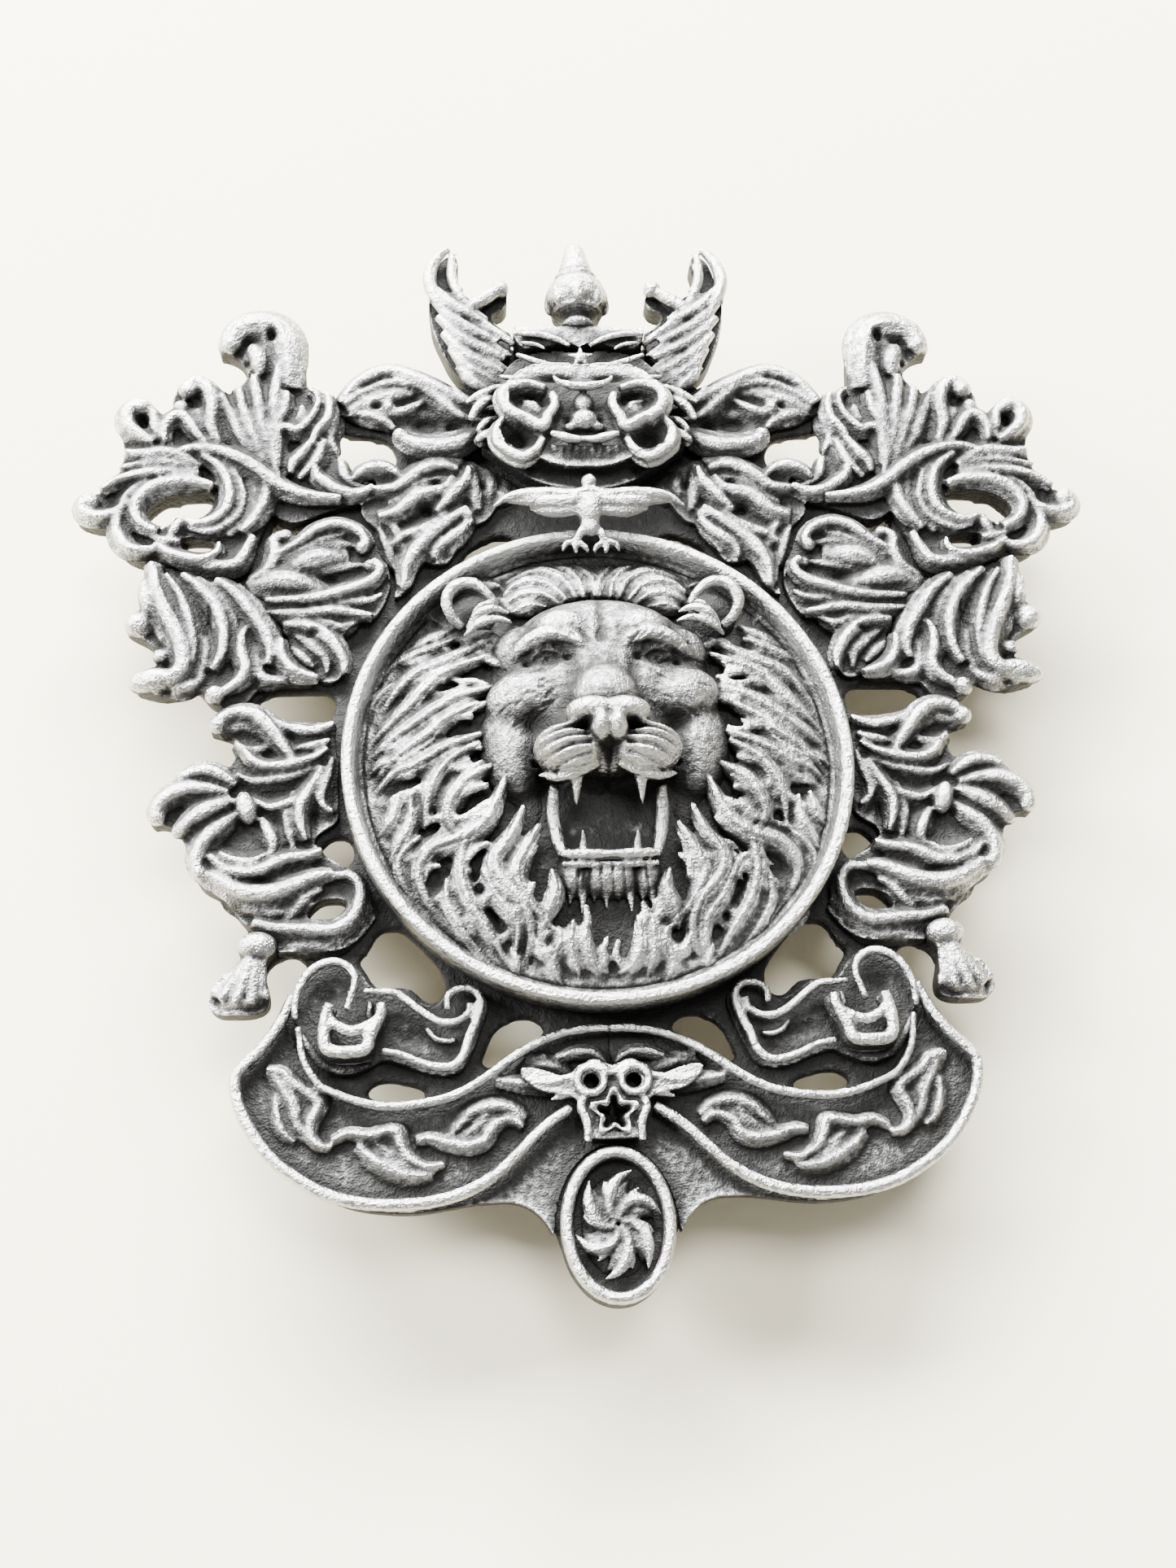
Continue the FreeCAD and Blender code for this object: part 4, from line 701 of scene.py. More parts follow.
for width, points in maneLocks:
    for side in (1, -1):
        path = smoothPath([(midline + side * (x - midline), y) for x, y in points])
        path[:, 2] = maneHeight(path[:, 0], path[:, 1]) - width / 2
        skirts.append((np.array(path) * (1, 1, 0) + (path[:, 2:] - .35) * (0, 0, 1 / .5),
                       (width + .8) / 2 * taperAlong(path, .3, .2)))
        strands.append((path, width / 2 * taperAlong(path, .35, .1)))
        along = np.gradient(path[:, :2], axis=0)
        offset = np.stack([-along[:, 1], along[:, 0]], 1) / (np.linalg.norm(along, axis=1)[:, None] + 1e-9)
        for shift in (-.24, .24):
            lockLines.append((.22, .16, [tuple(p) for p in (path[::3, :2] + offset[::3] * shift * width)]))
for k in range(170):
    # loose strands fill the gaps between the big locks, combed outwards and down
    angle = random.uniform(0, 2 * math.pi)
    reach = random.uniform(8.6, 15.2)
    if math.cos(angle - math.pi / 2) > .93 or (math.cos(angle + math.pi / 2) > .9 and reach < 11.5):
        continue
    comb = angle - .45 * math.copysign(1, math.cos(angle)) * max(0, math.sin(angle) + .4)
    comb += random.uniform(-.15, .15)
    bend = random.choice((-1, 1)) * random.uniform(.15, .4)
    start = (midline + reach * math.cos(angle), reach * math.sin(angle))
    length = min(random.uniform(2.4, 4.2), 17.2 - reach)
    points = []
    for t in (0, .33, .66, 1):
        sway = bend * math.sin(t * 6) * .8
        points.append((start[0] + t * length * math.cos(comb) - sway * math.sin(comb),
                       start[1] + t * length * math.sin(comb) + sway * math.cos(comb)))
    path = smoothPath(points)
    path[:, 2] = maneHeight(path[:, 0], path[:, 1]) - random.uniform(.55, .85)
    strands.append((path, random.uniform(.28, .42) * taperAlong(path, .65, .1)))
for lines, squash in ((strands, 1), (skirts, .5)):
    mesh = strandMesh(lines)
    mesh.transform(Matrix.Diagonal((1, 1, squash, 1)))
    pourInto(body, mesh)
# a stepped bed of (outer radius, inner radius, depth, height) under the locks
for outer, inner, depth, height in ((17.9, 17.2, .8, 2.95), (16.6, 9.0, 1.3, 3.75)):
    bmesh.ops.create_cone(body, cap_ends=True, segments=96, radius1=outer, radius2=inner, depth=depth,
                          matrix=Matrix.Translation((0, 0, height)))
fireClay("lionMane", body, ["lion_mane"], voxel=.185, smooth=1, floor=3.2, grooves=lockLines)


def addRevolved(body, profile, steps=64):
    # turns a closed loop of (radius, height) about the Z axis
    loop = [body.verts.new((r, 0, z)) for r, z in profile]
    edges = [body.edges.new((a, b)) for a, b in zip(loop, loop[1:] + loop[:1])]
    bmesh.ops.spin(body, geom=loop + edges, cent=(0, 0, 0), axis=(0, 0, 1), angle=2 * math.pi,
                   steps=steps, use_merge=True)


def spunRing(name, profile, replaced, steps=180):
    # a profile turned about the roundel's axis
    ring = bmesh.new()
    addRevolved(ring, [(r * mm, z * mm) for r, z in profile], steps)
    bmesh.ops.remove_doubles(ring, verts=ring.verts, dist=1e-7)
    bmesh.ops.recalc_face_normals(ring, faces=ring.faces)
    return finishPiece(placeObject(name, meshOf(name, ring)), replaced)


def roundedProfile(corners, radius=.12):
    # corner points with small curved corners
    out = []
    count = len(corners)
    for k in range(count):
        a, b, c = (np.array(corners[(k + s) % count], float) for s in (-1, 0, 1))
        u, v = a - b, c - b
        cut = min(radius, np.linalg.norm(u) / 3, np.linalg.norm(v) / 3)
        p, q = b + u / np.linalg.norm(u) * cut, b + v / np.linalg.norm(v) * cut
        out += [tuple((1 - t) ** 2 * p + 2 * t * (1 - t) * b + t * t * q) for t in (0, .33, .66, 1)]
    return out


rimProfile = [
    (17.4, 2.0), (18.85, 2.0), (19.0, 2.6), (19.0, 4.75), (18.8, 5.0),
    (18.3, 5.0), (18.05, 4.75), (17.75, 3.4), (17.4, 3.2),
]
spunRing("roundelRim", roundedProfile(rimProfile, .18), ["roundel_rim"])
print("lion done")

maskPart = {
    "ribs": [
        (1.1, .5, .7, [(-3.0, 31.6), (-4.4, 32.0), (-5.8, 31.7), (-6.4, 31.0), (-6.3, 30.1), (-5.7, 29.3),
                       (-4.6, 28.7), (-3.3, 28.0), (-2.9, 28.9), (-2.3, 30.0), (-2.5, 31.1)], 5.7),
        (.7, .6, .6, [(-4.9, 30.9), (-4.1, 30.5), (-3.4, 29.8)], 5.0),
        (1.0, .5, .7, [(-6.2, 29.2), (-6.9, 28.2), (-6.9, 26.9), (-5.9, 25.9), (-4.9, 25.4), (-3.9, 26.1),
                       (-3.3, 27.2)], 5.3),
        (.8, .5, .5, [(-7.0, 28.4), (-7.8, 28.0), (-8.6, 27.4)], 4.4),
        (.8, .6, .5, [(-2.7, 27.4), (-1.6, 27.0), (-.7, 26.8), (0, 26.9)], 5.6),
        (.9, .5, .6, [(-6.4, 31.3), (-7.5, 31.2), (-8.4, 30.5), (-9, 29.4)], 4.4),
        (.8, .5, .5, [(-6.7, 29.7), (-7.6, 29.4), (-8.5, 28.5)], 4.1),
        (.8, .4, .5, [(-5.4, 32.6), (-6.8, 32.4), (-8.2, 31.8), (-9.3, 31.1)], 4.2),
        (.7, .4, .5, [(-2.0, 33.6), (-3.6, 33.4), (-5.2, 33.2), (-6.6, 33.4)], 4.4),
    ],
    "pits": [(-4.1, 31.0, 1.1, .4, .6), (-3.3, 30.6, .3, .6, .5), (-5.2, 27.4, 1.1, .9, 1.3),
             (-1.3, 28.9, .3, .5, .5), (-7.6, 30.1, .5, .3, .6),
             (-2.2, 32.9, 1.6, .35, .6)],
}

body = bmesh.new()
addNode(body, "crest_mask", [(1.2, .35), (2.5, 1.9), (4.0, 3.1), (6.0, 4.5)])
addStrands(body, mirroredRibs(maskPart["ribs"]), 5)
addBlobs(body, [(0, 28.7, 4.7, 1.15, .95, 1.1), (0, 30.4, 4.4, .8, 1.2, .9)])
addBlobs(body, mirroredLumps([(-.95, 28.2, 4.5, .7, .5, .8), (-3.9, 29.9, 4.3, 1.3, .9, .6, -25)]))
addStrands(body, [(.8, .3, .3, [(-2.4, 32.6), (-2.0, 32.0), (-1.1, 31.6), (0, 31.5), (1.1, 31.6),
                                (2.0, 32.0), (2.4, 32.6)], 5.9)], 5)
addCones(body, [((x, 26.6, 4.6), (x * 1.08, 25.0 + abs(x) * .16, 4.0), .34, .1)
                for x in (-2.4, -1.8, -1.2, -.6, 0, .6, 1.2, 1.8, 2.4)])
addSkirts(body, mirroredRibs(maskPart["ribs"][:4]), 5, .7, .6)
fireClay("crestMask", body, ["crest_mask"], voxel=.13, smooth=1, floor=2,
         pits=mirroredLumps(maskPart["pits"]))


def starPoint(k, reach, height):
    # a tenth of a turn for each k, clockwise from the top
    return reach * math.sin(k * math.pi / 5), height + reach * math.cos(k * math.pi / 5)


body = bmesh.new()
addNode(body, "crest_collar", [(2.5, 1.8), (4.2, 3.5)])
addStrands(body, mirroredRibs([
    (.6, .6, .6, [(-5.3, 37.6), (-3.4, 37.5), (-1.8, 37), (-.8, 36.4)], 4.2),
    (.6, .6, .6, [(-5.2, 35.6), (-3.6, 34.9), (-2, 34.4), (-.9, 34)], 4.2),
    (.4, .6, .6, [(-4.8, 36.8), (-3.6, 36.6), (-2.8, 36.2)], 4),
]), 4)
addCones(body, [((0, 35.1, 4.2), (*starPoint(2 * k, 1.05, 35.1), 4.1), .38, .08) for k in range(5)])
fireClay("crestCollar", body, ["crest_collar"], voxel=.11, smooth=1, floor=2,
         pits=mirroredLumps([(-2.2, 36.2, .28, .2, .5), (-1.3, 35.9, .25, .18, .5),
                             (-3.3, 35.7, .28, .2, .4)]))

wingFeathers = []
# each row of feathers runs from the wing's outer edge to its root
featherRows = [
    ((-12.1, 42.6), (-7.9, 39.4)), ((-12.1, 41.2), (-6.6, 37.3)), ((-11.9, 39.8), (-6.0, 35.8)),
    ((-11.5, 38.3), (-6.2, 34.4)), ((-10.9, 36.9), (-6.6, 33.4)), ((-10.2, 35.4), (-7.2, 32.6)),
]
for row, ((ox, oy), (ix, iy)) in enumerate(featherRows):
    wingFeathers.append((1.25, .5, .5, [(ox + .4, oy), (ox + (ix - ox) * .45, oy + (iy - oy) * .58),
                                        (ix, iy)], 3.75 - .06 * row))
    wingFeathers.append((.7, .4, .4, [(ox + (ix - ox) * .3, oy + (iy - oy) * .1),
                                      (ox + (ix - ox) * .7, oy + (iy - oy) * .55),
                                      (ix + .5, iy + .3)], 3.3))
body = bmesh.new()
addNode(body, "crest_wing_left", [(1.2, .35), (2.5, 1.6), (3.6, 2.25)])
addStrands(body, wingFeathers + [
    (1.2, .5, .8, [(-10.6, 46.5), (-11.6, 45.3), (-12.1, 43.6), (-11.8, 42), (-11, 40.6)], 3.7),
    (.9, .5, .7, [(-10.2, 46.1), (-10.3, 44.8), (-10.2, 43.4), (-9.6, 41.8), (-8.8, 40.6)], 3.4),
    (1.2, .8, .6, [(-6.5, 42.4), (-7.6, 41.6), (-8.7, 40.8), (-9.4, 39.8)], 3.6),
    (.8, .6, .6, [(-8.4, 40.3), (-7.4, 38.9), (-6.2, 37.9), (-5.2, 37.1)], 3.4),
], 3.4)
addBlobs(body, [(-6.3, 42.6, 2.9, .75, .75, .75)])
fireClay("crestWingLeft", body, ["crest_wing_left"], voxel=.12, smooth=1, mirror=True)

body = bmesh.new()
spire = [(1.15, 38.6), (1.4, 39.2), (1.1, 39.6), (1.9, 40.2), (2.5, 41.1), (2.6, 41.9), (2.3, 42.8),
         (1.6, 43.5), (1.2, 43.9), (1.4, 44.3),
         (1.3, 44.9), (1.1, 45.5), (.95, 46.2), (.75, 46.8), (.35, 47.2)]
spireAxis = 2.6
loop = [body.verts.new((r, y, spireAxis)) for r, y in [(0, 38.4), *spire, (0, 47.3)]]
edges = [body.edges.new((a, b)) for a, b in zip(loop[:-1], loop[1:])]
bmesh.ops.spin(body, geom=loop + edges, cent=(0, 0, spireAxis), axis=(0, 1, 0), angle=2 * math.pi,
               steps=48, use_merge=True)
bmesh.ops.remove_doubles(body, verts=body.verts, dist=1e-4)
bmesh.ops.recalc_face_normals(body, faces=body.faces)
twist = [(.55 * math.sin(.9 * k) * (1.4 - k * .08), 44.6 + k * .22,
          spireAxis + 1.15 * math.cos(.9 * k) * (1.1 - k * .075)) for k in range(12)]


def aroundSpire(reach, height, angles):
    return [(reach * math.sin(a), height, spireAxis + reach * math.cos(a)) for a in angles]


hoopTurn = np.linspace(0, 2 * math.pi, 17)
hoops = [(width, .8, .8, aroundSpire(reach, height, hoopTurn))
         for width, reach, height in ((.55, 1.85, 40.35), (.5, 1.55, 43.75), (.5, 1.2, 39.0))]
addStrands(body, [(.5, .6, .3, twist)] + hoops, 4)
for reach, height, start, size in ((2.2, 41.2, 0, (.5, .95, .5)), (1.7, 42.7, .4, (.45, .6, .45))):
    beadTurn = np.linspace(start, start + 2 * math.pi, 9)[:-1]
    addBlobs(body, [(*place, *size) for place in aroundSpire(reach, height, beadTurn)])
fireClay("crestFinial", body, ["crest_finial"], voxel=.12, smooth=1, floor=9)
print("crest done")

body = bmesh.new()
addStrands(body, mirroredRibs([
    (1.1, .2, .9, [(-7.4, 20.3, 6.0), (-6, 21.1, 6.2), (-3.4, 21.2, 6.4), (-1.4, 21.0, 6.5),
                   (0, 21.3, 6.6)]),
    (1.3, .15, .9, [(-6.4, 20.7, 6.0), (-4.8, 20.8, 6.1), (-2.4, 20.5, 6.3), (0, 20.8, 6.4)]),
    (1.1, .15, .8, [(-4.6, 20.2, 5.8), (-2.8, 19.9, 6.0), (-.6, 19.9, 6.2)]),
    (.7, .8, .6, [(-.4, 18.6, 6), (-.9, 17.8, 5.9), (-1.2, 17.2, 5.7)]),
    (.5, .8, .4, [(-1.2, 17.4, 5.8), (-1.9, 17.2, 5.7), (-2.2, 16.6, 5.6)]),
    (.5, .8, .4, [(-1.2, 17.4, 5.8), (-1.2, 16.9, 5.7), (-1.1, 16.4, 5.6)]),
    (.5, .8, .4, [(-1.2, 17.4, 5.8), (-.5, 17.0, 5.7), (-.2, 16.5, 5.6)]),
]), 7)
addBlobs(body, [(0, 20.2, 6.2, 1.1, 1.6, .9), (0, 22.1, 6.6, .6, .65, .55), (0, 18.7, 6, .8, 1.0, .65)])
addCones(body, [((0, 22.4, 6.9), (.5, 21.9, 7.2), .3, .05)])
fireClay("perchedEagle", body, ["eagle"], voxel=.11, smooth=1)

bannerPart = {
    "ribs": [
        (.95, .9, .9, [(-22.4, -17.2), (-23, -18.6), (-23.7, -19.8), (-24.6, -21), (-25.6, -22),
                       (-26.3, -23.1), (-26, -25), (-25, -27), (-23.6, -28.8), (-21.8, -30.2),
                       (-19.8, -31.3), (-17.6, -31.9), (-15, -32.1), (-12.5, -31.9), (-10.3, -31.3),
                       (-8.3, -30.2), (-6.8, -28.9), (-5.5, -27.6), (-4.3, -26.6), (-2.9, -25.7)], 2.8),
        (.75, .7, .9, [(-22, -19.4), (-21.6, -21.8), (-20.5, -23.6), (-19.5, -24.2), (-18, -24.8),
                       (-16.5, -25.2), (-15, -25.3), (-13, -25.1), (-11, -24.6), (-9, -23.5), (-7.3, -22.3),
                       (-5.5, -21.2), (-3.5, -20.4), (-1.5, -20.1), (0, -20.1)], 2.8),
        (.8, .3, .5, [(-24.2, -22.3), (-23, -22.6), (-22.3, -23.4), (-21, -24.3), (-20.5, -24.9),
                      (-21, -26), (-21.1, -27), (-20.5, -27.8), (-19.6, -28)], 2.5),
        (.9, .4, .3, [(-23.7, -22.6), (-22.9, -23.8), (-22.2, -25), (-21.9, -26.4), (-21.3, -27.4)], 2.4),
        (.5, .4, .4, [(-23.6, -24), (-23.4, -25.5), (-23, -26.7), (-22.2, -27.5)], 2.2),
        (.7, .3, .5, [(-19.6, -27.5), (-18.5, -27), (-17, -27.2), (-15.2, -26.9), (-14.9, -27.7),
                      (-14.4, -28.7), (-13.6, -29.3), (-12.8, -29.5), (-11.8, -29.3)], 2.5),
        (.9, .4, .4, [(-17.8, -27.8), (-16.8, -28.8), (-15.5, -29.6), (-14, -30.1), (-12.6, -30)], 2.4),
        (.9, .4, .4, [(-16.6, -27.8), (-15.8, -28.4), (-14.8, -29.2), (-13.6, -29.8)], 2.3),
        (.8, .3, .4, [(-13.8, -27.6), (-12.8, -27.5), (-11.5, -27.9), (-10, -28.1), (-9, -27.7),
                      (-8.5, -26.9), (-7.7, -26.4), (-7, -26.4), (-6.3, -26.9)], 2.5),
        (.9, .3, .3, [(-11.2, -27.2), (-10.3, -26.2), (-9.5, -25.6), (-8.3, -25.4), (-7, -25.6),
                      (-6.1, -26.3)], 2.4),
        (.9, .3, .3, [(-10.8, -27.6), (-9.8, -27), (-8.9, -26.3), (-7.8, -26)], 2.3),
        (.6, .4, .4, [(-3.9, -22.1), (-2.5, -21.7), (-1.2, -21.8), (-.3, -22.6)], 2.6),
        (.8, .3, .4, [(-8.2, -23.6), (-6.8, -23.8), (-5.5, -24), (-4.2, -24.1), (-3, -23.8)], 2.7),
        (.9, .3, .4, [(-5.8, -22.7), (-4.8, -22.5), (-3.8, -22.8), (-2.8, -23.2)], 2.4),
        (.6, .3, .3, [(-6.6, -22.8), (-5.4, -22), (-4.2, -21.8)], 2.2),
    ],
}
body = bmesh.new()
addNode(body, "banner_left", [(1.2, .35), (2.3, 1.5)])
addStrands(body, bannerPart["ribs"], 2.7)
addSkirts(body, bannerPart["ribs"][2:], 2.7, .8, .35)
fireClay("bannerLeft", body, ["banner_left"], voxel=.155, smooth=2, mirror=True,
         grooves=[(.2, .12, [(-23.2, -23.2), (-22.2, -24.8), (-21.4, -26.6)]),
                  (.2, .12, [(-17.2, -27.6), (-15.6, -28.6), (-13.6, -29.6)]),
                  (.2, .12, [(-11.4, -27.5), (-9.4, -26.4), (-7.2, -26)])])

body = bmesh.new()
addNode(body, "star_clasp", [(2.3, 1.3), (3.5, 3.1)])
ringTurn = np.linspace(0, 2 * math.pi, 19)
addStrands(body, mirroredRibs([
    (.6, .9, .9, [(-1.55 + .95 * math.cos(a), -24.0 + .95 * math.sin(a)) for a in ringTurn], 3.6),
    (.8, .8, .2, [(-2.5, -23.6), (-3.8, -23.9), (-5, -24.0), (-6.4, -23.5)], 3.3),
    (.6, .8, .2, [(-2.2, -24.8), (-3.4, -24.9), (-4.4, -25.2)], 3.1),
    (.7, .8, .8, [(-1.9, -25), (-2.3, -25.8), (-1.9, -27), (-1.9, -28.3)], 3.5),
    (.7, .8, .8, [(-2.2, -23.3), (-1.2, -22.8), (0, -23.6)], 3.5)]), 3.4)
starHeight = -26.35
corners = [starPoint(k, .8 if k % 2 else 1.75, starHeight) for k in range(11)]
addStrands(body, [(.42, 1, 1, [a, b], 3.75) for a, b in zip(corners[:-1], corners[1:])], 3.6)
starCuts = [(.62, 1.1, [(0, starHeight, 0), (*starPoint(2 * k, .95, starHeight), 0)]) for k in range(5)]
fireClay("starClasp", body, ["star_clasp"], voxel=.11, smooth=1, floor=2, grooves=starCuts)

body = bmesh.new()
addNode(body, "medallion", [(1.2, .35), (3.0, 2.55)])
ovalTurn = np.linspace(0, 2 * math.pi, 41)
ovalHeight = -33.9
oval = [(3.55 * math.cos(a), ovalHeight + 4.95 * math.sin(a)) for a in ovalTurn]
addStrands(body, [(.9, 1, 1, oval, 3.05)], 3)
fireClay("medallionFrame", body, ["medallion"], voxel=.14, smooth=2)

body = bmesh.new()
for turn in range(6):
    a = math.radians(turn * 60 + 18)
    c, s = math.cos(a), math.sin(a)
    blades = []
    for width, top, points in ((1.0, 3.0, [(0, .2), (.7, .75), (1.6, .8), (2.4, .35), (3, -.5)]),
                               (1.3, 2.75, [(.4, .1), (1.2, .3), (1.9, .1), (2.5, -.4)]),
                               (.5, 2.8, [(.5, -.5), (1.2, -.4), (1.8, -.7), (2.2, -1.2)])):
        turned = [(x * c - y * s, ovalHeight + 1.3 * (x * s + y * c)) for x, y in points]
        blades.append((width, .4, .1, turned, top))
    addStrands(body, blades, 2.9)
addBlobs(body, [(0, ovalHeight, 1.7, 2.6, 3.6, .35)])
fireClay("leafWhirl", body, ["leaf_whirl"], voxel=.11, smooth=1, floor=2.0)
print("banner and medallion done")

body = bmesh.new()
addNode(body, "backplate", [])
fireClay("backplateWeb", body, ["backplate"], voxel=.36, smooth=1, floor=9)

threadSize = {"core": 1.3, "crest": 1.5, "pitch": .5, "perTurn": 28, "turns": 6.6, "start": -2.35}


def finishFastener(name, body, place, rider, replaced):
    bmesh.ops.remove_doubles(body, verts=body.verts, dist=1e-4)
    bmesh.ops.recalc_face_normals(body, faces=body.faces)
    bmesh.ops.translate(body, verts=body.verts, vec=place)
    bmesh.ops.scale(body, verts=body.verts, vec=(mm, mm, mm))
    mesh = meshOf(name, body)
    for face in mesh.polygons:
        face.use_smooth = True
    mesh.set_sharp_from_angle(angle=math.radians(38))
    piece = placeObject(name, mesh)
    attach(piece, rider)
    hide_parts(replaced)
    fasteners.append(piece)


def makePostPiece(side, place):
    body = bmesh.new()
    core, crest, turns = threadSize["core"], threadSize["crest"], threadSize["turns"]
    addRevolved(body, roundedProfile([(0.02, 1.1), (2.7, 1.1), (2.7, .02), (1.8, -.02), (1.8, -2.05),
                                      (core, -2.2), (core, -5.75), (1.05, -6), (0.02, -6)], .08))
    steps = int(turns * threadSize["perTurn"])
    rise = threadSize["pitch"] / threadSize["perTurn"]
    flanks = ((core - .05, .2), (crest, .04), (crest, -.04), (core - .05, -.2))
    ridge = [body.verts.new((r, 0, threadSize["start"] + z)) for r, z in flanks]
    edges = [body.edges.new((a, b)) for a, b in zip(ridge, ridge[1:] + ridge[:1])]
    face = bmesh.ops.contextual_create(body, geom=edges)["faces"]
    bmesh.ops.spin(body, geom=ridge + edges + face, cent=(0, 0, 0), axis=(0, 0, 1),
                   angle=2 * math.pi * turns, dvec=(0, 0, -rise), steps=steps)
    finishFastener(f"screwPost{side.title()}", body, place, "badge", f"post_{side}")


def makeWasherPiece(side, place):
    body = bmesh.new()
    addRevolved(body, roundedProfile([(1.56, -2.12), (4.5, -2.12), (4.5, -2.68), (4.1, -2.7), (3.9, -2.6),
                                      (2.3, -2.6), (2.1, -2.7), (1.56, -2.7)], .07), 96)
    finishFastener(f"washer{side.title()}", body, place, f"washer_{side}", f"washer_{side}")


knurl = {"from": 3.7, "ridges": 36, "depth": .045}


def makeNutPiece(side, place):
    body = bmesh.new()
    addRevolved(body, roundedProfile([(1.56, -2.9), (1.75, -2.76), (3.4, -2.76), (3.95, -3.0), (3.97, -3.3),
                                      (3.97, -3.65), (3.97, -4.0), (3.95, -4.28), (3.6, -4.5),
                                      (2.6, -4.52), (2.4, -4.4), (1.8, -4.4), (1.56, -4.25)], .1), 180)
    for v in body.verts:
        # straight knurling round the grip
        if math.hypot(v.co.x, v.co.y) > knurl["from"]:
            wave = .5 + .5 * math.cos(knurl["ridges"] * math.atan2(v.co.y, v.co.x))
            grip = 1 - knurl["depth"] * wave
            v.co.x *= grip
            v.co.y *= grip
    finishFastener(f"knurledNut{side.title()}", body, place, f"nut_{side}", f"nut_{side}")


fasteners = []
for side in ("left", "right", "lower"):
    low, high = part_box(f"post_{side}")
    place = ((low.x + high.x) / 2 / mm, (low.y + high.y) / 2 / mm, 0)
    makePostPiece(side, place)
    makeWasherPiece(side, place)
    makeNutPiece(side, place)
print("fasteners done")

studio = {
    "floorReach": 2.0, "floorGap": 0.00005, "floorColour": (0.98, 0.91, 0.69, 1),
    "skyColour": (1, .985, .94, 1), "skyStrength": 0.5,
    # each lamp: place, size and power
    "lamps": {
        "windowLight": ((-0.12, 0.6, 0.36), (0.8, 0.22), 58),
        "leftLight": ((-0.5, 0.12, 0.32), (0.2, 0.2), 9),
        "ceilingLight": ((0.1, 0.25, 0.9), (0.35, 0.35), 9),
    },
}
camera = {"place": (-11.1, -55.5, 137.5), "turn": (-21.85, -4.06, -0.88), "lens": 44.84}


def makeCamera():
    a, b, c = (math.radians(v) for v in camera["turn"])
    turn = Matrix.Rotation(c, 3, "Z") @ Matrix.Rotation(b, 3, "Y") @ Matrix.Rotation(a, 3, "X")
    flip = Matrix.Diagonal((1, -1, -1))
    data = bpy.data.cameras.new("camera")
    data.sensor_width = 36
    data.lens = camera["lens"]
    data.clip_start = 0.005
    eye = placeObject("camera", data)
    facing = ((turn @ flip).transposed() @ flip).to_4x4()
    eye.matrix_world = Matrix.Translation(Vector(camera["place"]) * mm) @ facing
    bpy.context.scene.camera = eye


makeCamera()


def makeFloor():
    body = bmesh.new()
    bmesh.ops.create_grid(body, x_segments=1, y_segments=1, size=studio["floorReach"])
    bmesh.ops.translate(body, verts=body.verts, vec=(0, 0, cadBox[0].z - studio["floorGap"]))
    floor = placeObject("floor", meshOf("floor", body))
    paper = bpy.data.materials.new("paleFloor")
    paper.use_nodes = True
    shader = paper.node_tree.nodes["Principled BSDF"]
    shader.inputs["Base Color"].default_value = studio["floorColour"]
    shader.inputs["Roughness"].default_value = 0.9
    floor.data.materials.append(paper)


makeFloor()


def addLight(name, place, size, power):
    data = bpy.data.lights.new(name, "AREA")
    data.shape = "RECTANGLE"
    data.size, data.size_y = size
    data.energy = power
    lamp = placeObject(name, data)
    lamp.location = place
    lamp.rotation_euler = (-Vector(place)).to_track_quat("-Z", "Y").to_euler()


for name, (place, size, power) in studio["lamps"].items():
    addLight(name, place, size, power)
world = bpy.data.worlds.new("studio")
bpy.context.scene.world = world
world.use_nodes = True
sky = world.node_tree.nodes["Background"]
sky.inputs[0].default_value = studio["skyColour"]
sky.inputs[1].default_value = studio["skyStrength"]

raster = {"cell": 0.16, "left": -42.0, "bottom": -42.0, "columns": 525, "rows": 570}


def blurred(field, sigma):
    # three box passes stand in for a soft blur
    reach = max(1, int(round(sigma / raster["cell"])))
    out = field.copy()
    for axis in (0, 1):
        for k in range(3):
            before = np.repeat(out.take([0], axis), reach + 1, axis)
            after = np.repeat(out.take([-1], axis), reach, axis)
            padded = np.concatenate([before, out, after], axis)
            sums = np.cumsum(padded, axis)
            upper = sums.take(range(2 * reach + 1, sums.shape[axis]), axis)
            lower = sums.take(range(0, sums.shape[axis] - 2 * reach - 1), axis)
            out = (upper - lower) / (2 * reach + 1)
    return out


def placesOf(piece):
    count = len(piece.data.vertices)
    co = np.zeros(count * 3)
    normals = np.zeros(count * 3)
    piece.data.vertices.foreach_get("co", co)
    piece.data.vertices.foreach_get("normal", normals)
    return co.reshape(-1, 3) / mm, normals.reshape(-1, 3)


def cellsOf(co):
    column = np.clip(((co[:, 0] - raster["left"]) / raster["cell"]).astype(int), 0, raster["columns"] - 1)
    row = np.clip(((co[:, 1] - raster["bottom"]) / raster["cell"]).astype(int), 0, raster["rows"] - 1)
    return row, column


def heightField(pieces):
    field = np.full((raster["rows"], raster["columns"]), -9.0)
    for piece in pieces:
        co, normals = placesOf(piece)
        facing = normals[:, 2] > 0.05
        row, column = cellsOf(co[facing])
        np.maximum.at(field, (row, column), co[facing][:, 2])
    for k in range(3):
        empty = field < -5
        grown = field.copy()
        for shift in (-1, 1):
            for axis in (0, 1):
                grown = np.maximum(grown, np.roll(field, shift, axis))
        field[empty] = grown[empty]
    field[field < -5] = 0.0
    return field


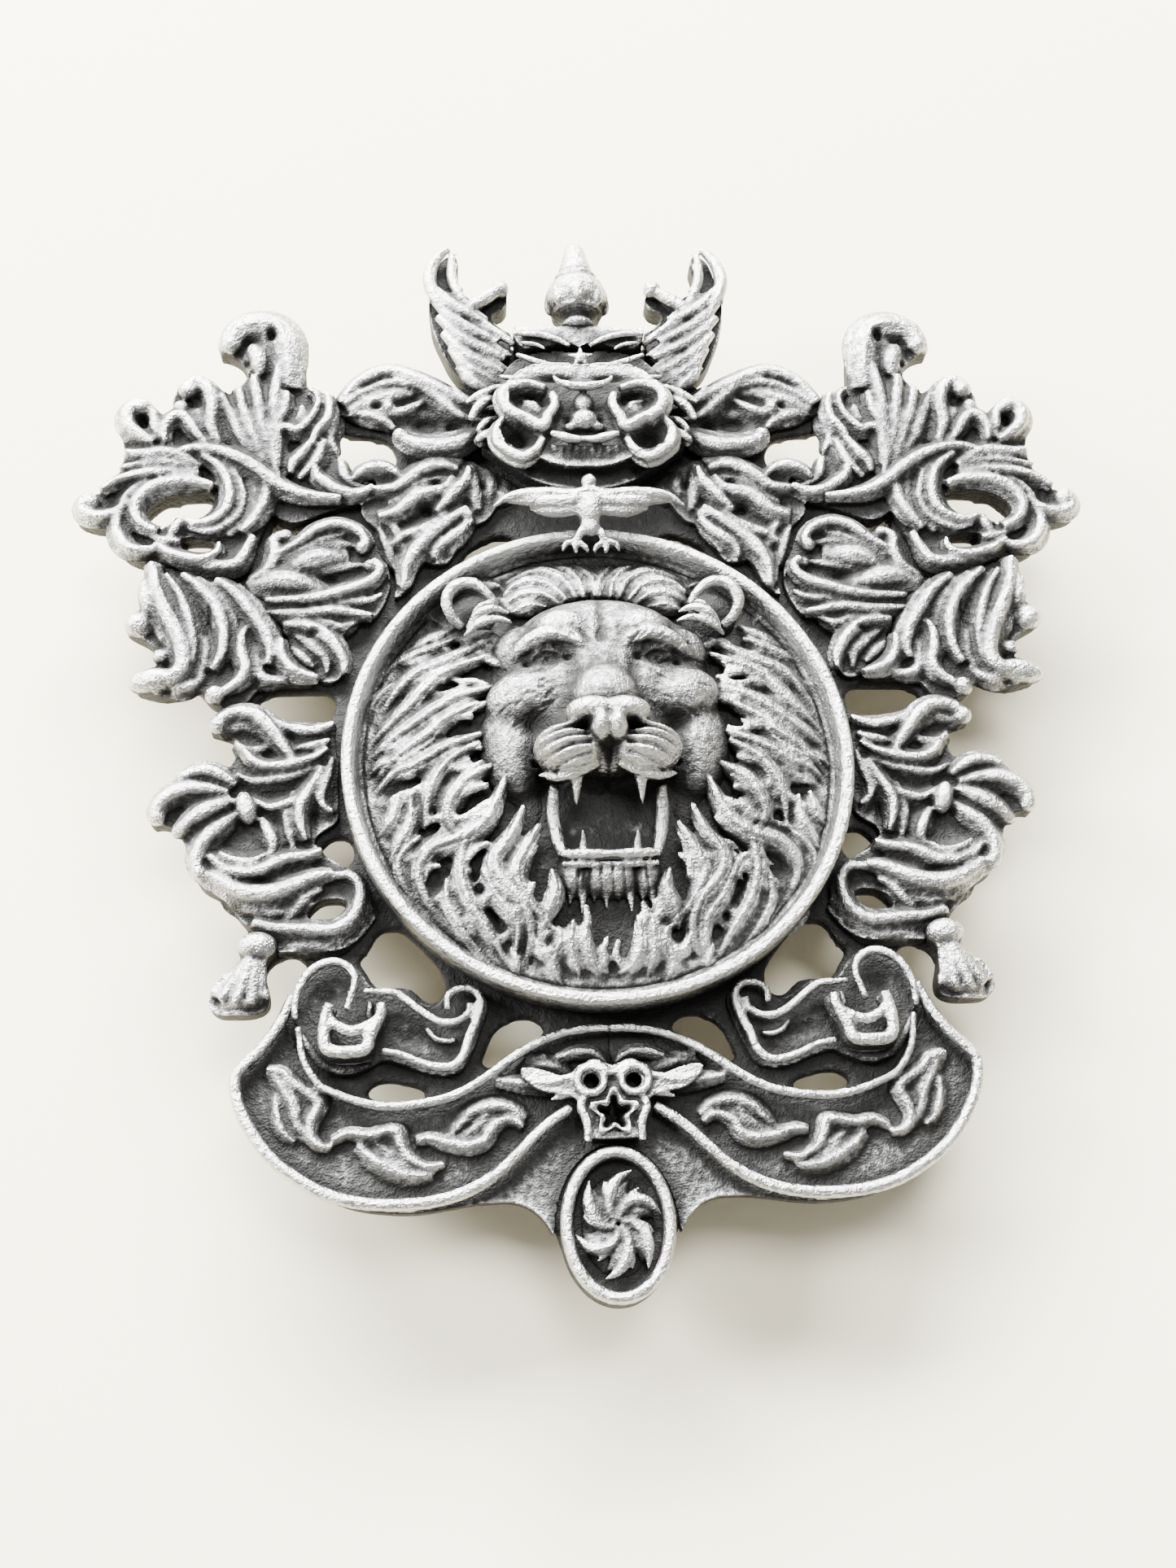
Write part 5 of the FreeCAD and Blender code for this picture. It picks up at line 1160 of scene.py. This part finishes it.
# painted shade, the wear lowered where shadow falls: in the mouth, beside the jowls, round the eyes, at the
# brow and under the crest;
# each is (x, y, reach x, reach y, below z, amount)
shadowPools = [(midline, -5.0, 3.0, 3.0, 4.9, .5), (midline, -11.9, 2.8, 1.7, 4.6, .3),
               (midline, -3.3, 3, .9, 6, .3),
               (midline - 6.9, -3.6, 1.9, 3.6, 5.2, .2), (midline + 6.9, -3.6, 1.9, 3.6, 5.2, .2),
               (midline, 12.6, 6, 1.1, 7, .12), (0, 24.7, 4.2, 1.2, 5, .35), (0, 35.6, 4.5, 1.2, 3.9, .2),
               (-3.7 + midline, 7.1, 1.5, .7, 7.2, .15), (3.7 + midline, 7.1, 1.5, .7, 7.2, .15)]

# wear of a flat face, then how far standing above its surroundings adds and steep walls take away
rubbing = {"flat": .46, "fine": 1.05, "broad": .45, "wide": .1, "walls": .45}


# patina from height above the surroundings, with painted shade laid into the same values
def wearAndShadeOf(pieces):
    field = heightField(pieces)
    fine, broad, wide = blurred(field, .3), blurred(field, .8), blurred(field, 2.2)
    for piece in pieces:
        co, normals = placesOf(piece)
        row, column = cellsOf(co)
        wearAndShade = rubbing["flat"] + rubbing["fine"] * (co[:, 2] - fine[row, column])
        wearAndShade += rubbing["broad"] * (co[:, 2] - broad[row, column])
        wearAndShade += rubbing["wide"] * np.clip(co[:, 2] - wide[row, column], -1.5, 1.5)
        wearAndShade -= rubbing["walls"] * np.clip(.55 - normals[:, 2], 0, 1)
        # painted shade: faces lying well under the top surface, beneath other castings, are set dark
        buried = np.clip((field[row, column] - co[:, 2] - .35) / .8, 0, 1)
        wearAndShade = np.clip(wearAndShade * (1 - buried) + .14 * buried, 0, 1)
        # painted shade on the backing web seen between the castings
        if piece.name == "backplateWeb":
            wearAndShade -= .1
        for x, y, rx, ry, ceiling, amount in shadowPools:
            depth = np.exp(-(((co[:, 0] - x) / rx) ** 2 + ((co[:, 1] - y) / ry) ** 2) ** 2)
            wearAndShade -= amount * depth * (co[:, 2] < ceiling)
        wearAndShade[(normals[:, 2] < -.35) & (co[:, 2] < .8)] = .47
        outer = (np.abs(normals[:, 2]) < .5) & (co[:, 2] < 1.4) & (field[row, column] < .3)
        wearAndShade[outer] = np.maximum(wearAndShade[outer], .3)
        # one attribute holds the patina and the painted shade together
        attribute = piece.data.attributes.new("wearAndShade", "FLOAT", "POINT")
        attribute.data.foreach_set("value", wearAndShade.astype(np.float32))


wearAndShadeOf(castings)
print("wear done")


def addSocket(group, name, kind, inward=False):
    return group.interface.new_socket(name, in_out="INPUT" if inward else "OUTPUT", socket_type=kind)


def makePatinaGroup():
    # wear with painted shade in; colour, roughness, metallic and grain height out
    group = bpy.data.node_groups.new("antiquePatinaAndShade", "ShaderNodeTree")
    addSocket(group, "WearAndShade", "NodeSocketFloat", True)
    addSocket(group, "Color", "NodeSocketColor")
    for name in ("Roughness", "Metallic", "Height"):
        addSocket(group, name, "NodeSocketFloat")
    make = group.nodes.new
    link = group.links.new
    entry, leave = make("NodeGroupInput"), make("NodeGroupOutput")
    place = make("ShaderNodeTexCoord")
    noises = {}
    for name, scale, detail in (("blotch", 260, 4), ("speckle", 1900, 3), ("grain", 6500, 2)):
        noises[name] = make("ShaderNodeTexNoise")
        noises[name].inputs["Scale"].default_value = scale
        noises[name].inputs["Detail"].default_value = detail
        link(place.outputs["Object"], noises[name].inputs["Vector"])

    def sum3(a, b, c):
        first, second = make("ShaderNodeMath"), make("ShaderNodeMath")
        first.operation = second.operation = "ADD"
        link(a, first.inputs[0])
        link(b, first.inputs[1])
        link(first.outputs[0], second.inputs[0])
        link(c, second.inputs[1])
        return second.outputs[0]

    def mapped(socket, fromLow, fromHigh, low, high):
        node = make("ShaderNodeMapRange")
        for name, value in zip(("From Min", "From Max", "To Min", "To Max"),
                               (fromLow, fromHigh, low, high)):
            node.inputs[name].default_value = value
        link(socket, node.inputs["Value"])
        return node.outputs["Result"]

    def scaled(name, low, high):
        return mapped(noises[name].outputs[0], .3, .7, low, high)

    total = sum3(entry.outputs["WearAndShade"], scaled("blotch", -.07, .07), scaled("speckle", -.17, .13))
    ramp = make("ShaderNodeValToRGB")
    stops = ramp.color_ramp.elements
    stops[0].position, stops[0].color = .08, (.016, .016, .015, 1)
    stops[1].position, stops[1].color = .98, (.56, .56, .54, 1)
    for position, level in ((.3, .035), (.44, .1), (.58, .22), (.76, .42)):
        stops.new(position).color = (level, level, level * .985, 1)
    link(total, ramp.inputs[0])
    link(ramp.outputs["Color"], leave.inputs["Color"])
    for name, low, high in (("Roughness", .62, .25), ("Metallic", .7, 1)):
        link(mapped(total, .15, .75, low, high), leave.inputs[name])
    height = sum3(scaled("speckle", -.5, .5), scaled("grain", -.3, .3), scaled("blotch", -.4, .4))
    link(height, leave.inputs["Height"])
    return group


patinaAndShadeGroup = makePatinaGroup()


def makePewter(name, wearAndShade=None):
    material = bpy.data.materials.new(name)
    material.use_nodes = True
    tree = material.node_tree
    shader = tree.nodes["Principled BSDF"]
    patinaAndShade = tree.nodes.new("ShaderNodeGroup")
    patinaAndShade.node_tree = patinaAndShadeGroup
    if wearAndShade is None:
        wornAndShaded = tree.nodes.new("ShaderNodeAttribute")
        wornAndShaded.attribute_name = "wearAndShade"
        tree.links.new(wornAndShaded.outputs["Fac"], patinaAndShade.inputs["WearAndShade"])
    else:
        patinaAndShade.inputs["WearAndShade"].default_value = wearAndShade
    bump = tree.nodes.new("ShaderNodeBump")
    bump.inputs["Strength"].default_value = .8
    bump.inputs["Distance"].default_value = .0001
    for output, target in (("Color", "Base Color"), ("Roughness", "Roughness"), ("Metallic", "Metallic")):
        tree.links.new(patinaAndShade.outputs[output], shader.inputs[target])
    tree.links.new(patinaAndShade.outputs["Height"], bump.inputs["Height"])
    tree.links.new(bump.outputs["Normal"], shader.inputs["Normal"])
    return material


pewter = makePewter("antiquePewter")
plainPewter = makePewter("plainPewter", .4)
steel = makePewter("platedSteel", .8)
for piece in castings:
    piece.data.materials.clear()
    piece.data.materials.append(pewter)
for piece in fasteners:
    piece.data.materials.append(steel)
for name, node in nodes.items():
    node.data.materials.clear()
    node.data.materials.append(steel if name.split("_")[0] in ("post", "washer", "nut") else plainPewter)
